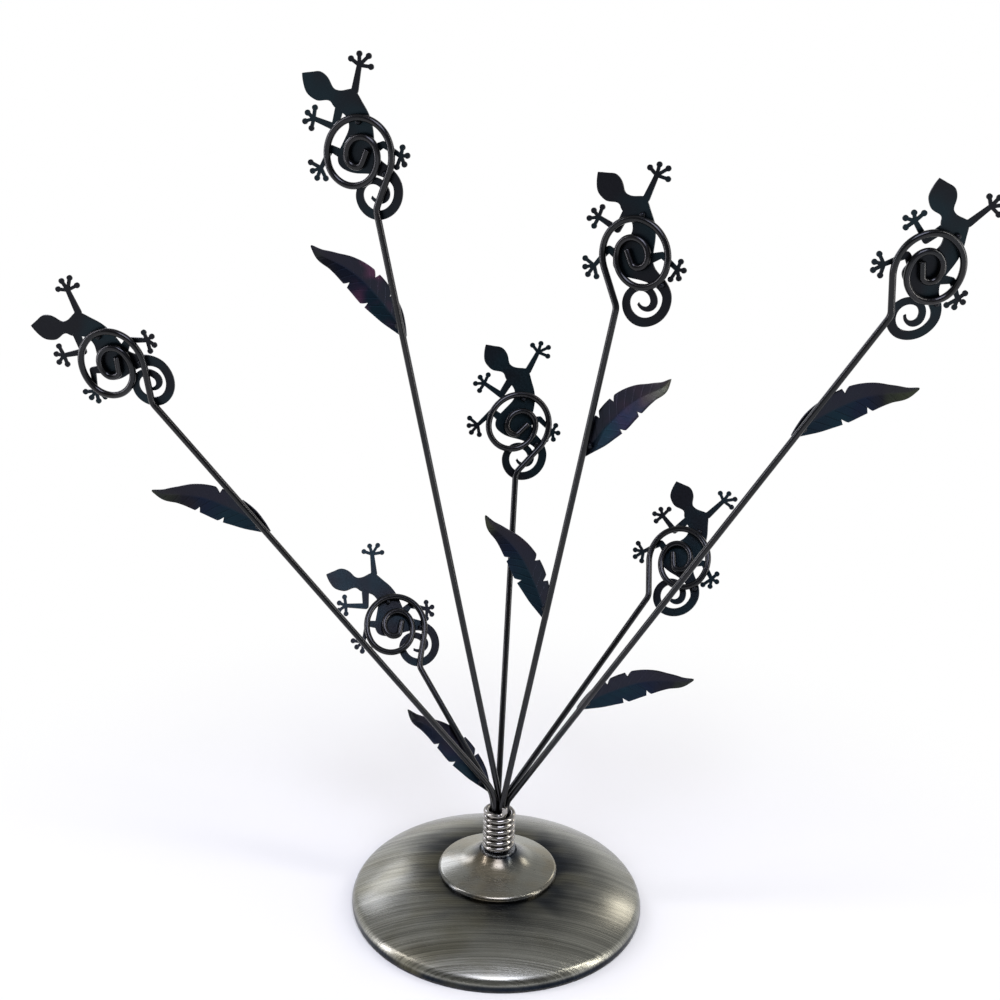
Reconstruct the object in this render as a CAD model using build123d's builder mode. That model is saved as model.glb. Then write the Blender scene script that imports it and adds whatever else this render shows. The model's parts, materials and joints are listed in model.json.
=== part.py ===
"""A photo tree stand: a round stepped foot, a wound-wire collar, and seven wire stems that fan out
of it. Each stem ends in a flat spiral clip with a stamped gecko brazed behind it, and five stems
carry stamped leaves. Millimetres, +Z up, the origin at the middle of the foot's underside."""

from build123d import *

import math
import os

# Foot: a felt pad, a pressed shell and a smaller shell on its flat crown
rim_diameter = 120.0
pad_thickness = 1.2
pad_inset = 0.4
shell_sheet = 1.0
rim_band = 0.8
shoulder_radius = 4.8
shoulder_turn = 58.0
crown_diameter = 50.0
crown_height = 14.2
cap_sheet = 0.9
cap_diameter = 49.2
cap_band = 0.4
cap_shoulder_radius = 2.0
cap_shoulder_turn = 74.0
flare_diameter = 30.0
neck_diameter = 15.5
neck_height = 9.4

# Fixings under the foot: a flanged bolt, a weight, a washer and a nut
bolt_diameter = 6.0
bolt_clearance = 0.2
flange_diameter = 14.0
flange_thickness = 1.0
boss_diameter = 30.0
boss_height = 2.2
weight_rim_gap = 20.0
weight_thickness = 8.7
weight_edge = 1.0
pocket_diameter = 18.0
pocket_depth = 6.5
washer_diameter = 12.0
washer_thickness = 1.6
nut_across_flats = 10.0
nut_thickness = 5.0
bolt_stub = 1.2

# Collar: wire wound round the bundle of stems, with its upper end standing at the front
collar_wire = 2.15
collar_turn_gap = 0.45
collar_quarter_turns = 25
collar_start_angle = 180.0
collar_seat_gap = 0.05
collar_bore_gap = 0.28
collar_tip_radius = 2.2

# Stems: one wire each, a shank in the collar, a bend, a straight reach and a spiral clip
wire_diameter = 2.5
shank_gap = 0.35
shank_foot_gap = 0.2
shank_lead = 1.25
shank_angles = [228.0, 0.0, 108.0, 288.0, 348.0, 48.0, 168.0]
centre_stem = 2
wide_bend = 18.0
middle_bend = 9.0
tight_bend = 6.0
bend_radii = [wide_bend, wide_bend, middle_bend, wide_bend, tight_bend, tight_bend, middle_bend]
stem_1_reach = 199.8
stem_2_reach = 239.8
stem_3_reach = 131.9
stem_4_reach = 207.0
stem_5_reach = 243.4
stem_6_reach = 99.2
stem_7_reach = 57.5
reaches = [
    stem_1_reach,
    stem_2_reach,
    stem_3_reach,
    stem_4_reach,
    stem_5_reach,
    stem_6_reach,
    stem_7_reach,
]
azimuths = [180.4, 180.7, 86.9, -2.0, -9.9, 28.2, 140.5]
leans = [39.7, 12.3, 17.7, 9.4, 31.2, 38.8, 44.2]
facings = [-106.3, -109.1, -77.2, -116.6, -75.5, -127.2, -56.2]
clip_tilts = [4.0, 4.3, -3.1, -5.0, 1.1, -1.5, -1.6]
clip_hands = [-1, -1, -1, 1, 1, 1, -1]

# Spiral clip, as shares of the width of its outer turn between wire centres
clip_width = 25.1
kink_radius = 5.0
kink_turn = 37.5
entry_run_share = 0.574
entry_bend_share = 0.586
quarter_turn = 90.0
quarter_shares = [0.466, 0.534, 0.3665, 0.410, 0.223, 0.247, 0.139]
eye_bend_share = 0.084
eye_turn = 50.0
tail_share = 0.215

# Gecko: a flat silhouette, as shares of its length, with y towards the head
gecko_length = 56.0
gecko_sheet = 0.8
gecko_gap = 0.05
gecko_turns = [9.6, 4.3, 3.0, 16.8, 11.5, 16.6, 5.1]
gecko_side_shares = [-0.086, -0.111, -0.066, -0.048, -0.046, -0.070, -0.054]
gecko_rise_shares = [0.504, 0.504, 0.529, 0.457, 0.457, 0.493, 0.561]
left_head_shares = [
    (-0.036, 0.170),
    (-0.052, 0.197),
    (-0.090, 0.207),
    (-0.128, 0.215),
    (-0.161, 0.241),
    (-0.184, 0.273),
    (-0.191, 0.330),
    (-0.186, 0.370),
    (-0.179, 0.398),
]
right_head_shares = [
    (-0.179, 0.398),
    (-0.148, 0.394),
    (-0.108, 0.388),
    (-0.064, 0.380),
    (-0.034, 0.355),
    (-0.013, 0.310),
    (-0.004, 0.268),
    (0.020, 0.245),
]
back_shares = [
    (0.020, 0.245),
    (0.060, 0.234),
    (0.125, 0.225),
    (0.160, 0.150),
    (0.183, 0.070),
    (0.186, -0.030),
    (0.168, -0.120),
    (0.165, -0.190),
    (0.190, -0.240),
    (0.235, -0.290),
    (0.262, -0.335),
    (0.277, -0.396),
]
belly_shares = [
    (-0.036, 0.170),
    (-0.010, 0.130),
    (0.030, 0.085),
    (0.035, 0.020),
    (0.000, -0.030),
    (-0.055, -0.085),
    (-0.098, -0.140),
    (-0.105, -0.190),
    (-0.070, -0.235),
    (0.000, -0.270),
    (0.080, -0.290),
    (0.140, -0.315),
    (0.185, -0.345),
    (0.217, -0.400),
]
tail_outer_shares = [0.188, 0.146, 0.128, 0.112, 0.066]
tail_inner_shares = [0.125, 0.095, 0.075, 0.064, 0.036]
tail_tip_outer_share = 0.075
tail_tip_inner_share = 0.045
tail_tip_turn = 70.0
# Each limb: its joints from the body outwards, and its width at each joint
limb_shares = [
    [(0.100, 0.190), (0.137, 0.215), (0.212, 0.350)],
    [(0.010, 0.150), (-0.065, 0.035), (-0.190, 0.118)],
    [(-0.060, -0.140), (-0.129, -0.084), (-0.238, -0.184)],
    [(0.130, -0.160), (0.225, -0.137), (0.322, -0.231)],
]
limb_width_shares = [
    [0.070, 0.046, 0.030],
    [0.056, 0.044, 0.028],
    [0.060, 0.042, 0.026],
    [0.070, 0.040, 0.028],
]
toe_shares = [
    [(0.170, 0.400), (0.233, 0.414), (0.290, 0.386), (0.285, 0.322)],
    [(-0.161, 0.179), (-0.221, 0.161), (-0.255, 0.115), (-0.225, 0.065)],
    [(-0.298, -0.135), (-0.302, -0.189), (-0.285, -0.238), (-0.226, -0.254)],
    [(0.348, -0.184), (0.365, -0.239), (0.330, -0.286), (0.275, -0.290)],
]
toe_width_share = 0.022
toe_pad_share = 0.037

# Leaf: a thin folded blade, as shares of its length from foot to tip
leaf_length = 46.5
leaf_sheet = 0.8
leaf_gap = 0.25
leaf_fold = 14.0
leaf_place_shares = [0.0, 0.08, 0.18, 0.30, 0.42, 0.55, 0.68, 0.80, 0.90, 1.0]
leaf_width_shares = [0.014, 0.055, 0.098, 0.125, 0.140, 0.134, 0.110, 0.072, 0.048, 0.010]
leaf_bow_shares = [0.0, 0.022, 0.043, 0.060, 0.069, 0.074, 0.058, 0.026, -0.006, 0.0]
leaf_curl_shares = [0.0, 0.0, 0.0, 0.006, 0.015, 0.030, 0.050, 0.076, 0.105, 0.140]
notch_depth_share = 0.045
notch_near_share = 0.008
notch_far_share = 0.040
inner_notch_shares = [0.312, 0.490]
outer_notch_shares = [0.388, 0.614]
# Each leaf: its stem's number and any place in its name, where its foot lies on the reach, and its
# angle from the stem
leaf_names = ["1", "2", "4_upper", "4_lower", "5_upper", "5_lower", "7"]
leaf_stem_numbers = [int(name[0]) for name in leaf_names]
leaf_foot_shares = [0.673, 0.804, 0.724, 0.394, 0.776, 0.208, -0.020]
leaf_angles = [32.0, 36.0, -35.0, 44.0, -34.0, -41.0, 17.0]
leaf_tilts = [3.0, 3.0, 3.0, 3.0, 3.0, 3.0, 5.0]

# Braze beads in the corner between a wire and a plate. On a gecko they lie on the clip, at these
# shares of the clip's width past the kink: on the trunk and where the wire crosses the tail
bead_radius = 1.1
bead_offset = 1.55
bead_lift = 0.42
trunk_bead_shares = [1.554, 1.600, 1.680, 1.635, 1.780, 1.710, 1.615]
tail_bead_shares = [0.617, 0.503, 0.578, 2.730, 2.805, 2.710, 0.690]
leaf_bead_share = 0.10

# Places that follow from the sizes
rim_radius = rim_diameter / 2
crown_radius = crown_diameter / 2
weight_radius = rim_radius - weight_rim_gap
crown_level = pad_thickness + crown_height
crown_underside = crown_level - shell_sheet
neck_level = crown_level + neck_height
flange_level = neck_level + flange_thickness
pocket_level = crown_underside - boss_height - weight_thickness + pocket_depth
bolt_hole_radius = bolt_diameter / 2 + bolt_clearance
wire_radius = wire_diameter / 2
shank_ring = wire_diameter + shank_gap
shank_level = flange_level + shank_foot_gap
collar_radius = shank_ring + wire_radius + collar_bore_gap + collar_wire / 2
collar_pitch = collar_wire + collar_turn_gap
collar_slope = collar_pitch / (2 * math.pi * collar_radius)
collar_dip = collar_wire * collar_slope
collar_level = flange_level + collar_seat_gap + collar_dip + collar_wire / 2
collar_rise = collar_pitch * collar_quarter_turns / 4
collar_top = collar_level + collar_rise + collar_wire / 2
bend_level = collar_top + shank_lead

UP = Vector(0, 0, 1)


def around(vector, direction, angle):
    """A vector turned by an angle about a direction."""
    return vector.rotate(Axis((0, 0, 0), direction), angle)


class Trail:
    """A point with a heading that draws straight runs and tangent arcs into the open line."""

    def __init__(self, point, heading):
        self.point = point
        self.heading = heading.normalized()

    def run(self, length):
        """Go straight on."""
        start = self.point
        self.point = start + self.heading * length
        Line(start, self.point)

    def bend(self, radius, angle, direction):
        """Turn by an angle about a direction, on an arc of a radius."""
        start = self.point
        inward = direction.cross(self.heading) * math.copysign(radius, angle)
        self.point = start + inward + around(inward * -1, direction, angle)
        TangentArc(start, self.point, tangent=self.heading)
        self.heading = around(self.heading, direction, angle)


def draw_biarc(start, heading, end, last_heading):
    """Join two points, each with its heading, by two arcs that meet in one tangent."""
    chord = end - start
    both = heading + last_heading
    spread = (1 - heading.dot(last_heading)) * 2
    along = chord.dot(both)
    reach = (math.sqrt(along * along + spread * chord.dot(chord)) - along) / spread
    first_corner = start + heading * reach
    middle = (first_corner + end - last_heading * reach) * 0.5
    TangentArc(start, middle, tangent=heading)
    TangentArc(middle, end, tangent=middle - first_corner)


# Felt pad, under the rim
with BuildPart() as felt_pad:
    Cylinder(rim_radius - pad_inset, pad_thickness, align=(Align.CENTER, Align.CENTER, Align.MIN))
felt_pad.part.label = "felt_pad"


def shell_outline(inset):
    """The foot's section from the axis to the rim, drawn inwards by an inset."""
    radius = shoulder_radius - inset
    shoulder = Vector(rim_radius - shoulder_radius, pad_thickness + rim_band)
    slope = math.radians(shoulder_turn)
    shoulder_end = shoulder + Vector(math.cos(slope), math.sin(slope)) * radius
    edge = Vector(rim_radius - inset, pad_thickness)
    band_top = Vector(rim_radius - inset, pad_thickness + rim_band)
    crown_edge = Vector(crown_radius, crown_level - inset)
    foot = Vector(0, pad_thickness)
    crown = Vector(0, crown_level - inset)
    Line(foot, edge)
    Line(edge, band_top)
    TangentArc(band_top, shoulder_end, tangent=(0, 1))
    TangentArc(shoulder_end, crown_edge, tangent=Vector(-math.sin(slope), math.cos(slope)))
    Line(crown_edge, crown)
    Line(crown, foot)


def cap_outline(inset):
    """The centre dome's section from the axis to its edge, drawn inwards by an inset: a rounded
    edge, a straight flank and a flare up to the neck."""
    radius = cap_shoulder_radius - inset
    edge_radius = cap_diameter / 2
    shoulder = Vector(edge_radius - cap_shoulder_radius, crown_level + cap_band)
    slope = math.radians(cap_shoulder_turn)
    shoulder_end = shoulder + Vector(math.cos(slope), math.sin(slope)) * radius
    edge = Vector(edge_radius - inset, crown_level)
    band_top = Vector(edge_radius - inset, crown_level + cap_band)
    uphill = Vector(-math.sin(slope), math.cos(slope))
    flank = (edge_radius - cap_shoulder_radius - flare_diameter / 2) / math.sin(slope)
    flare_foot = shoulder_end + uphill * flank
    neck_edge = Vector(neck_diameter / 2 - inset / 2, neck_level - inset)
    foot = Vector(0, crown_level)
    top = Vector(0, neck_level - inset)
    Line(foot, edge)
    Line(edge, band_top)
    TangentArc(band_top, shoulder_end, tangent=(0, 1))
    Line(shoulder_end, flare_foot)
    TangentArc(flare_foot, neck_edge, tangent=uphill)
    Line(neck_edge, top)
    Line(top, foot)


def bolt_hole(level):
    """A clearance hole for the bolt, cut down the axis through the open part's sheet."""
    with Locations((0, 0, level)):
        Hole(bolt_hole_radius)


with BuildPart() as base_dome:
    for inset, mode in [(0, Mode.ADD), (shell_sheet, Mode.SUBTRACT)]:
        with BuildSketch(Plane.XZ):
            with BuildLine():
                shell_outline(inset)
            make_face()
        revolve(axis=Axis.Z, mode=mode)
    bolt_hole(crown_level)
base_dome.part.label = "base_dome"

with BuildPart() as centre_dome:
    for inset, mode in [(0, Mode.ADD), (cap_sheet, Mode.SUBTRACT)]:
        with BuildSketch(Plane.XZ):
            with BuildLine():
                cap_outline(inset)
            make_face()
        revolve(axis=Axis.Z, mode=mode)
    bolt_hole(neck_level)
centre_dome.part.label = "centre_dome"

# Weight: a disc whose boss meets the crown from below, with a pocket for the nut
with BuildPart() as base_weight:
    with BuildSketch(Plane.XY.offset(crown_underside)):
        Circle(boss_diameter / 2)
    extrude(amount=-boss_height)
    with BuildSketch(Plane.XY.offset(crown_underside - boss_height)):
        Circle(weight_radius)
    extrude(amount=-weight_thickness)
    rims = base_weight.edges().filter_by(GeomType.CIRCLE).group_by(SortBy.RADIUS)[-1]
    chamfer(rims, length=weight_edge)
    with BuildSketch(Plane.XY.offset(pocket_level)):
        Circle(pocket_diameter / 2)
    extrude(amount=-weight_thickness, mode=Mode.SUBTRACT)
    bolt_hole(crown_underside)
base_weight.part.label = "base_weight"

# Bolt: its flange lies on the neck and its shaft ends just below the nut
with BuildPart() as post_bolt:
    with BuildSketch(Plane.XY.offset(neck_level)):
        Circle(flange_diameter / 2)
    extrude(amount=flange_thickness)
    with BuildSketch(Plane.XY.offset(neck_level)):
        Circle(bolt_diameter / 2)
    extrude(amount=pocket_level - washer_thickness - nut_thickness - bolt_stub - neck_level)
post_bolt.part.label = "post_bolt"

with BuildPart() as washer:
    with BuildSketch(Plane.XY.offset(pocket_level)):
        Circle(washer_diameter / 2)
        Circle(bolt_hole_radius, mode=Mode.SUBTRACT)
    extrude(amount=-washer_thickness)
washer.part.label = "washer"

with BuildPart() as nut:
    with BuildSketch(Plane.XY.offset(pocket_level - washer_thickness)):
        RegularPolygon(nut_across_flats / 2, 6, major_radius=False)
        Circle(bolt_diameter / 2, mode=Mode.SUBTRACT)
    extrude(amount=-nut_thickness)
nut.part.label = "nut"


def collar_point(quarter):
    """A point of the collar's helix and its heading, counted in quarter turns."""
    angle = math.radians(collar_start_angle + quarter_turn * quarter)
    out = Vector(math.cos(angle), math.sin(angle), 0)
    level = collar_level + collar_pitch * quarter / 4
    heading = UP.cross(out) + UP * collar_slope
    return out * collar_radius + UP * level, heading.normalized()


# Collar: both ends run straight for one wire diameter, and the upper one stands up
with BuildPart() as wire_collar:
    with BuildLine() as collar_path:
        first, first_heading = collar_point(0)
        Line(first - first_heading * collar_wire, first)
        for quarter in range(collar_quarter_turns):
            draw_biarc(*collar_point(quarter), *collar_point(quarter + 1))
        last, last_heading = collar_point(collar_quarter_turns)
        tip = Trail(last, last_heading)
        climb = last_heading.get_angle(UP)
        tip.bend(collar_tip_radius, climb, last_heading.cross(UP).normalized())
        tip.run(collar_wire)
    with BuildSketch(Plane(origin=first - first_heading * collar_wire, z_dir=first_heading)):
        Circle(collar_wire / 2)
    sweep(path=collar_path.line)
wire_collar.part.label = "wire_collar"


class Arm:
    """The places and directions of one stem: up along it, side to its right, towards its front."""

    def __init__(self, number):
        index = number - 1
        ring = 0 if number == centre_stem else shank_ring
        shank_angle = math.radians(shank_angles[index])
        azimuth = math.radians(azimuths[index])
        lean = math.radians(leans[index])
        facing = math.radians(facings[index])
        out = Vector(math.cos(azimuth), math.sin(azimuth), 0)
        front = Vector(math.cos(facing), math.sin(facing), 0)
        self.index = index
        self.axis = Vector(math.cos(shank_angle), math.sin(shank_angle), 0) * ring
        self.bend_axis = UP.cross(out)
        self.up = out * math.sin(lean) + UP * math.cos(lean)
        self.towards = (front - self.up * front.dot(self.up)).normalized()
        self.side = self.up.cross(self.towards)
        bend = bend_radii[index]
        self.start = self.axis + UP * (bend_level + bend * math.sin(lean))
        self.start += out * (bend * (1 - math.cos(lean)))
        self.kink = self.start + self.up * reaches[index]

    def on_front(self, angle):
        """The direction at an angle from the stem, to the left as seen from the front."""
        return around(self.up, self.towards, angle)


arms = [Arm(number + 1) for number in range(len(reaches))]


def draw_stem(arm):
    """Draw a stem's centre line from the shank's foot to the tail of its spiral."""
    index = arm.index
    hand = clip_hands[index]
    kink_angle = clip_tilts[index] + hand * kink_turn
    kink_run = kink_radius * math.tan(math.radians(abs(kink_angle)) / 2)
    trail = Trail(arm.axis + UP * shank_level, UP)
    trail.run(bend_level - shank_level)
    trail.bend(bend_radii[index], leans[index], arm.bend_axis)
    trail.run(reaches[index] - kink_run)
    trail.bend(kink_radius, kink_angle, arm.towards)
    trail.run(clip_width * entry_run_share - kink_run)
    trail.bend(clip_width * entry_bend_share, -hand * kink_turn, arm.towards)
    for share in quarter_shares:
        trail.bend(clip_width * share, -hand * quarter_turn, arm.towards)
    trail.bend(clip_width * eye_bend_share, -hand * eye_turn, arm.towards)
    trail.run(clip_width * tail_share)


stems = []
stem_wires = []
for arm in arms:
    with BuildPart() as stem:
        with BuildLine() as stem_path:
            draw_stem(arm)
        with BuildSketch(Plane(origin=arm.axis + UP * shank_level, z_dir=UP)):
            Circle(wire_radius)
        sweep(path=stem_path.line)
    stem.part.label = f"stem_{arm.index + 1}"
    stems.append(stem)
    stem_wires.append(stem_path.wire())


def on_gecko(share):
    """A point of the gecko's sheet from its two shares."""
    return Vector(share[0], share[1]) * gecko_length


def draw_bar(first, last, first_width, last_width):
    """A tapered bar with a round at its outer end."""
    start = on_gecko(first)
    end = on_gecko(last)
    across = UP.cross(end - start).normalized() * (gecko_length / 2)
    corners = [
        start + across * first_width,
        end + across * last_width,
        end - across * last_width,
        start - across * first_width,
    ]
    Polygon(*corners, align=None)
    with Locations(end):
        Circle(last_width * gecko_length / 2)


def draw_tail(start, shares, tip_share):
    """One edge of the curled tail, in quarter turns that tighten to its tip."""
    trail = Trail(on_gecko(start), Vector(0, -1))
    for share in shares:
        trail.bend(share * gecko_length, -quarter_turn, UP)
    trail.bend(tip_share * gecko_length, -tail_tip_turn, UP)
    return trail.point


# Gecko: body, head and tail in one outline, then legs and toes
with BuildPart() as gecko_blank:
    with BuildSketch():
        with BuildLine():
            Spline(*[on_gecko(share) for share in left_head_shares])
            Spline(*[on_gecko(share) for share in right_head_shares])
            Spline(*[on_gecko(share) for share in back_shares])
            Spline(*[on_gecko(share) for share in belly_shares])
            outer_tip = draw_tail(back_shares[-1], tail_outer_shares, tail_tip_outer_share)
            inner_tip = draw_tail(belly_shares[-1], tail_inner_shares, tail_tip_inner_share)
            Line(outer_tip, inner_tip)
        make_face()
        for joints, widths, toes in zip(limb_shares, limb_width_shares, toe_shares):
            for place in range(len(joints) - 1):
                draw_bar(joints[place], joints[place + 1], widths[place], widths[place + 1])
            for toe in toes:
                draw_bar(joints[-1], toe, toe_width_share, toe_width_share)
            with Locations(*[on_gecko(toe) for toe in toes]):
                Circle(toe_pad_share * gecko_length / 2)
    extrude(amount=-gecko_sheet)

gecko_planes = []
geckos = []
for arm in arms:
    side = arm.side * (gecko_side_shares[arm.index] * gecko_length)
    rise = arm.up * (gecko_rise_shares[arm.index] * gecko_length)
    origin = arm.kink + side + rise - arm.towards * (wire_radius + gecko_gap)
    across = around(arm.side, arm.towards, gecko_turns[arm.index])
    plane = Plane(origin=origin, x_dir=across, z_dir=arm.towards)
    gecko_planes.append(plane)
    with BuildPart(plane) as gecko:
        add(gecko_blank.part)
    gecko.part.label = f"gecko_{arm.index + 1}"
    geckos.append(gecko)


def leaf_section(place, bow, curl):
    """The plane across a leaf at one of its places, x towards the stem and y to the front."""
    steps = list(zip(leaf_place_shares, leaf_bow_shares, leaf_curl_shares))
    index = leaf_place_shares.index(place)
    before = Vector(*steps[max(index - 1, 0)])
    after = Vector(*steps[min(index + 1, len(steps) - 1)])
    heading = (after - before).normalized()
    towards_stem = UP.cross(heading).normalized()
    origin = Vector(place, bow, curl) * leaf_length
    return Plane(origin=origin, x_dir=towards_stem, z_dir=heading)


def draw_leaf_section(half_width):
    """A folded strip of sheet: flat towards the stem, and raised on the other side."""
    fold = math.radians(leaf_fold)
    outer = Vector(-math.cos(fold), math.sin(fold)) * half_width
    drop = Vector(0, -leaf_sheet)
    inner = Vector(half_width, 0)
    crease = Vector(0, 0)
    Polygon(inner, crease, outer, outer + drop, crease + drop, inner + drop, align=None)


def leaf_edge(place, side):
    """A point of the leaf's edge, on the stem's side (1) or the other side (-1)."""
    index = 0
    while leaf_place_shares[index + 1] < place:
        index += 1
    span = leaf_place_shares[index + 1] - leaf_place_shares[index]
    part = (place - leaf_place_shares[index]) / span
    edges = [
        bow + side * width
        for bow, width in zip(leaf_bow_shares[index:], leaf_width_shares[index:])
    ]
    return Vector(place, edges[0] + (edges[1] - edges[0]) * part) * leaf_length


# Leaf: sections along its bowed and curling midrib, with two notches in each edge that are steep
# towards the foot and slope out towards the tip
with BuildPart() as leaf_blank:
    for place, width, bow, curl in zip(
        leaf_place_shares, leaf_width_shares, leaf_bow_shares, leaf_curl_shares
    ):
        with BuildSketch(leaf_section(place, bow, curl)):
            draw_leaf_section(width * leaf_length)
    loft(ruled=True)
    for side, places in [(1, inner_notch_shares), (-1, outer_notch_shares)]:
        for place in places:
            edge = leaf_edge(place, side)
            depth = Vector(0, side) * (notch_depth_share * leaf_length)
            near = edge + depth - Vector(notch_near_share, 0) * (2 * leaf_length)
            far = edge + depth + Vector(notch_far_share, 0) * (2 * leaf_length)
            with BuildSketch():
                Polygon(edge - depth, far, near, align=None)
            extrude(amount=leaf_length, both=True, mode=Mode.SUBTRACT)
leaf_mirror = mirror(leaf_blank.part, about=Plane.XZ)

leaves = []
leaf_feet = []
for name, number, foot_share, angle, tilt in zip(
    leaf_names, leaf_stem_numbers, leaf_foot_shares, leaf_angles, leaf_tilts
):
    arm = arms[number - 1]
    foot = arm.start + arm.up * (foot_share * reaches[arm.index])
    origin = foot - arm.towards * (wire_radius + leaf_gap)
    along = arm.on_front(angle)
    back = along.cross(arm.towards)
    plane = Plane(
        origin=origin, x_dir=around(along, back, -tilt), z_dir=around(arm.towards, back, -tilt)
    )
    with BuildPart(plane) as leaf:
        add(leaf_blank.part if angle < 0 else leaf_mirror)
    leaf.part.label = f"leaf_{name}"
    leaves.append(leaf)
    leaf_feet.append(foot)


def braze_bead(place, along, front, gap, stem, plate):
    """A bead beside a wire, to the left of the way along it, on the plate behind the wire."""
    aside = front.cross(along) * bead_offset
    centre = place + aside + front * (bead_lift - wire_radius - gap)
    with BuildPart() as bead:
        with Locations(Plane(origin=centre, x_dir=along, z_dir=front)):
            Sphere(bead_radius)
        add(stem.part, mode=Mode.SUBTRACT)
        add(plate.part, mode=Mode.SUBTRACT)
    return bead.part


# Braze: two beads hold each gecko to its clip, and one holds each leaf to its stem
brazes = []
for arm, stem, path, gecko, trunk, tail in zip(
    arms, stems, stem_wires, geckos, trunk_bead_shares, tail_bead_shares
):
    bend = math.radians(leans[arm.index]) * bend_radii[arm.index]
    corner = bend_level - shank_level + bend + reaches[arm.index]
    beads = []
    for share in (trunk, tail):
        part = (corner + share * clip_width) / path.length
        place = path.position_at(part)
        beads.append(
            braze_bead(place, path.tangent_at(part), arm.towards, gecko_gap, stem, gecko)
        )
    for leaf, number, foot, angle in zip(leaves, leaf_stem_numbers, leaf_feet, leaf_angles):
        if number == arm.index + 1:
            place = foot + arm.up * (leaf_bead_share * leaf_length)
            along = arm.up * math.copysign(1, angle)
            beads.append(braze_bead(place, along, arm.towards, leaf_gap, stem, leaf))
    with BuildPart() as braze:
        add(beads)
    braze.part.label = f"braze_{arm.index + 1}"
    brazes.append(braze)


def least_gap(path, diameter, steps, skip):
    """The least clear distance of a round wire to itself, on points along its centre line."""
    points = [path.position_at(step / steps) for step in range(steps + 1)]
    away = max(1, math.ceil(skip / (path.length / steps)))
    pairs = (
        (points[first] - points[last]).length
        for first in range(steps + 1)
        for last in range(first + away, steps + 1)
    )
    return min(pairs) - diameter


gap_steps = 600
collar_gap = least_gap(collar_path.wire(), collar_wire, gap_steps, math.pi * collar_radius)
print(f"collar: least gap to itself {collar_gap:.2f} mm")

fixed = [felt_pad, base_dome, centre_dome, base_weight, post_bolt, washer, nut, wire_collar]
os.makedirs("parts", exist_ok=True)
for piece in fixed + stems + geckos + leaves + brazes:
    export_step(piece.part, f"parts/{piece.part.label}.step")
    print(piece.part.label, len(piece.part.solids()), round(piece.part.volume, 2))
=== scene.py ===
"""Looks of the photo tree stand: plated shells, a wound collar, blackened wires with spiral clips,
lacquered geckos and heat-tinted leaves. Metres, +Z up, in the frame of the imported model."""

import json
import math

import bmesh
import bpy
from bpy.props import FloatProperty, FloatVectorProperty, IntProperty, PointerProperty
from bpy.types import Operator, Panel, PropertyGroup
from mathutils import Matrix, Vector


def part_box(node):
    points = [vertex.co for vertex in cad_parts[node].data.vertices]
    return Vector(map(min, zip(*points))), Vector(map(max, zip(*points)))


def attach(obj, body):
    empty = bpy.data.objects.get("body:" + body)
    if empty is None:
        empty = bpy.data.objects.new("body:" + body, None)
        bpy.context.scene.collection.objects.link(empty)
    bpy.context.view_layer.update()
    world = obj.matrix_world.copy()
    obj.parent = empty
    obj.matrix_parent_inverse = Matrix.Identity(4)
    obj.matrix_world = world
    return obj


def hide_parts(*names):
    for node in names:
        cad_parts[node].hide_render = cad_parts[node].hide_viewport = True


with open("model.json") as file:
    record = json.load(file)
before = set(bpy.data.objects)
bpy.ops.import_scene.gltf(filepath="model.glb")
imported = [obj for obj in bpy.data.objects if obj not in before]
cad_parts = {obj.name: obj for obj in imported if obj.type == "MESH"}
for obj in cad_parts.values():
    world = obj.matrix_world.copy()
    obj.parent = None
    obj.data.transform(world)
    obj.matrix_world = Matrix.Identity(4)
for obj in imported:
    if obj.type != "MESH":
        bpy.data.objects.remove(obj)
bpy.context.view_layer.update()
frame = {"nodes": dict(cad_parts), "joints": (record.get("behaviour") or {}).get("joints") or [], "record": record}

bl_info = {
    "name": "Photo Tree Stand",
    "version": (1, 0, 0),
    "blender": (4, 5, 0),
    "location": "View3D > Sidebar > Photo Tree",
    "description": "Builds the finished surfaces of a photo tree stand around its packed frame",
    "category": "Object",
}

MM = 0.001
UP = Vector((0, 0, 1))

# Names of the values that pieces carry for their materials
WIRE_PLACE = "wire_place"
BLADE_PLACE = "blade_place"
BRUSH_MAP = "brush_map"

# Settings that many nodes share
SOFT = {"interpolation_type": "SMOOTHSTEP"}
COLOUR = {"data_type": "RGBA"}
NUMBER_ON_POINT = {"data_type": "FLOAT", "domain": "POINT"}
VECTOR_ON_POINT = {"data_type": "FLOAT_VECTOR", "domain": "POINT"}
BRUSH_WAY = {"direction_type": "UV_MAP", "uv_map": BRUSH_MAP}

# Turns in degrees past which an edge stays sharp, on shells and leaves, on wires and geckos, and
# on beads
SHEET_CREASE = 32
ROUND_CREASE = 40
BEAD_CREASE = 60

# Points nearer than this are one
SAME_POINT = 0.001 * MM

# Each stem: azimuth, lean and facing in degrees, reach and bend radius in millimetres, the clip's
# tilt in degrees and its hand
ARMS = {
    1: (180.4, 39.7, -106.3, 199.8, 18.0, 4.0, -1),
    2: (180.7, 12.3, -109.1, 239.8, 18.0, 4.3, -1),
    3: (86.9, 17.7, -77.2, 131.9, 9.0, -3.1, -1),
    4: (-2.0, 9.4, -116.6, 207.0, 18.0, -5.0, 1),
    5: (-9.9, 31.2, -75.5, 243.4, 6.0, 1.1, 1),
    6: (28.2, 38.8, -127.2, 99.2, 6.0, -1.5, 1),
    7: (140.5, 44.2, -56.2, 57.5, 9.0, -1.6, -1),
}

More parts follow.
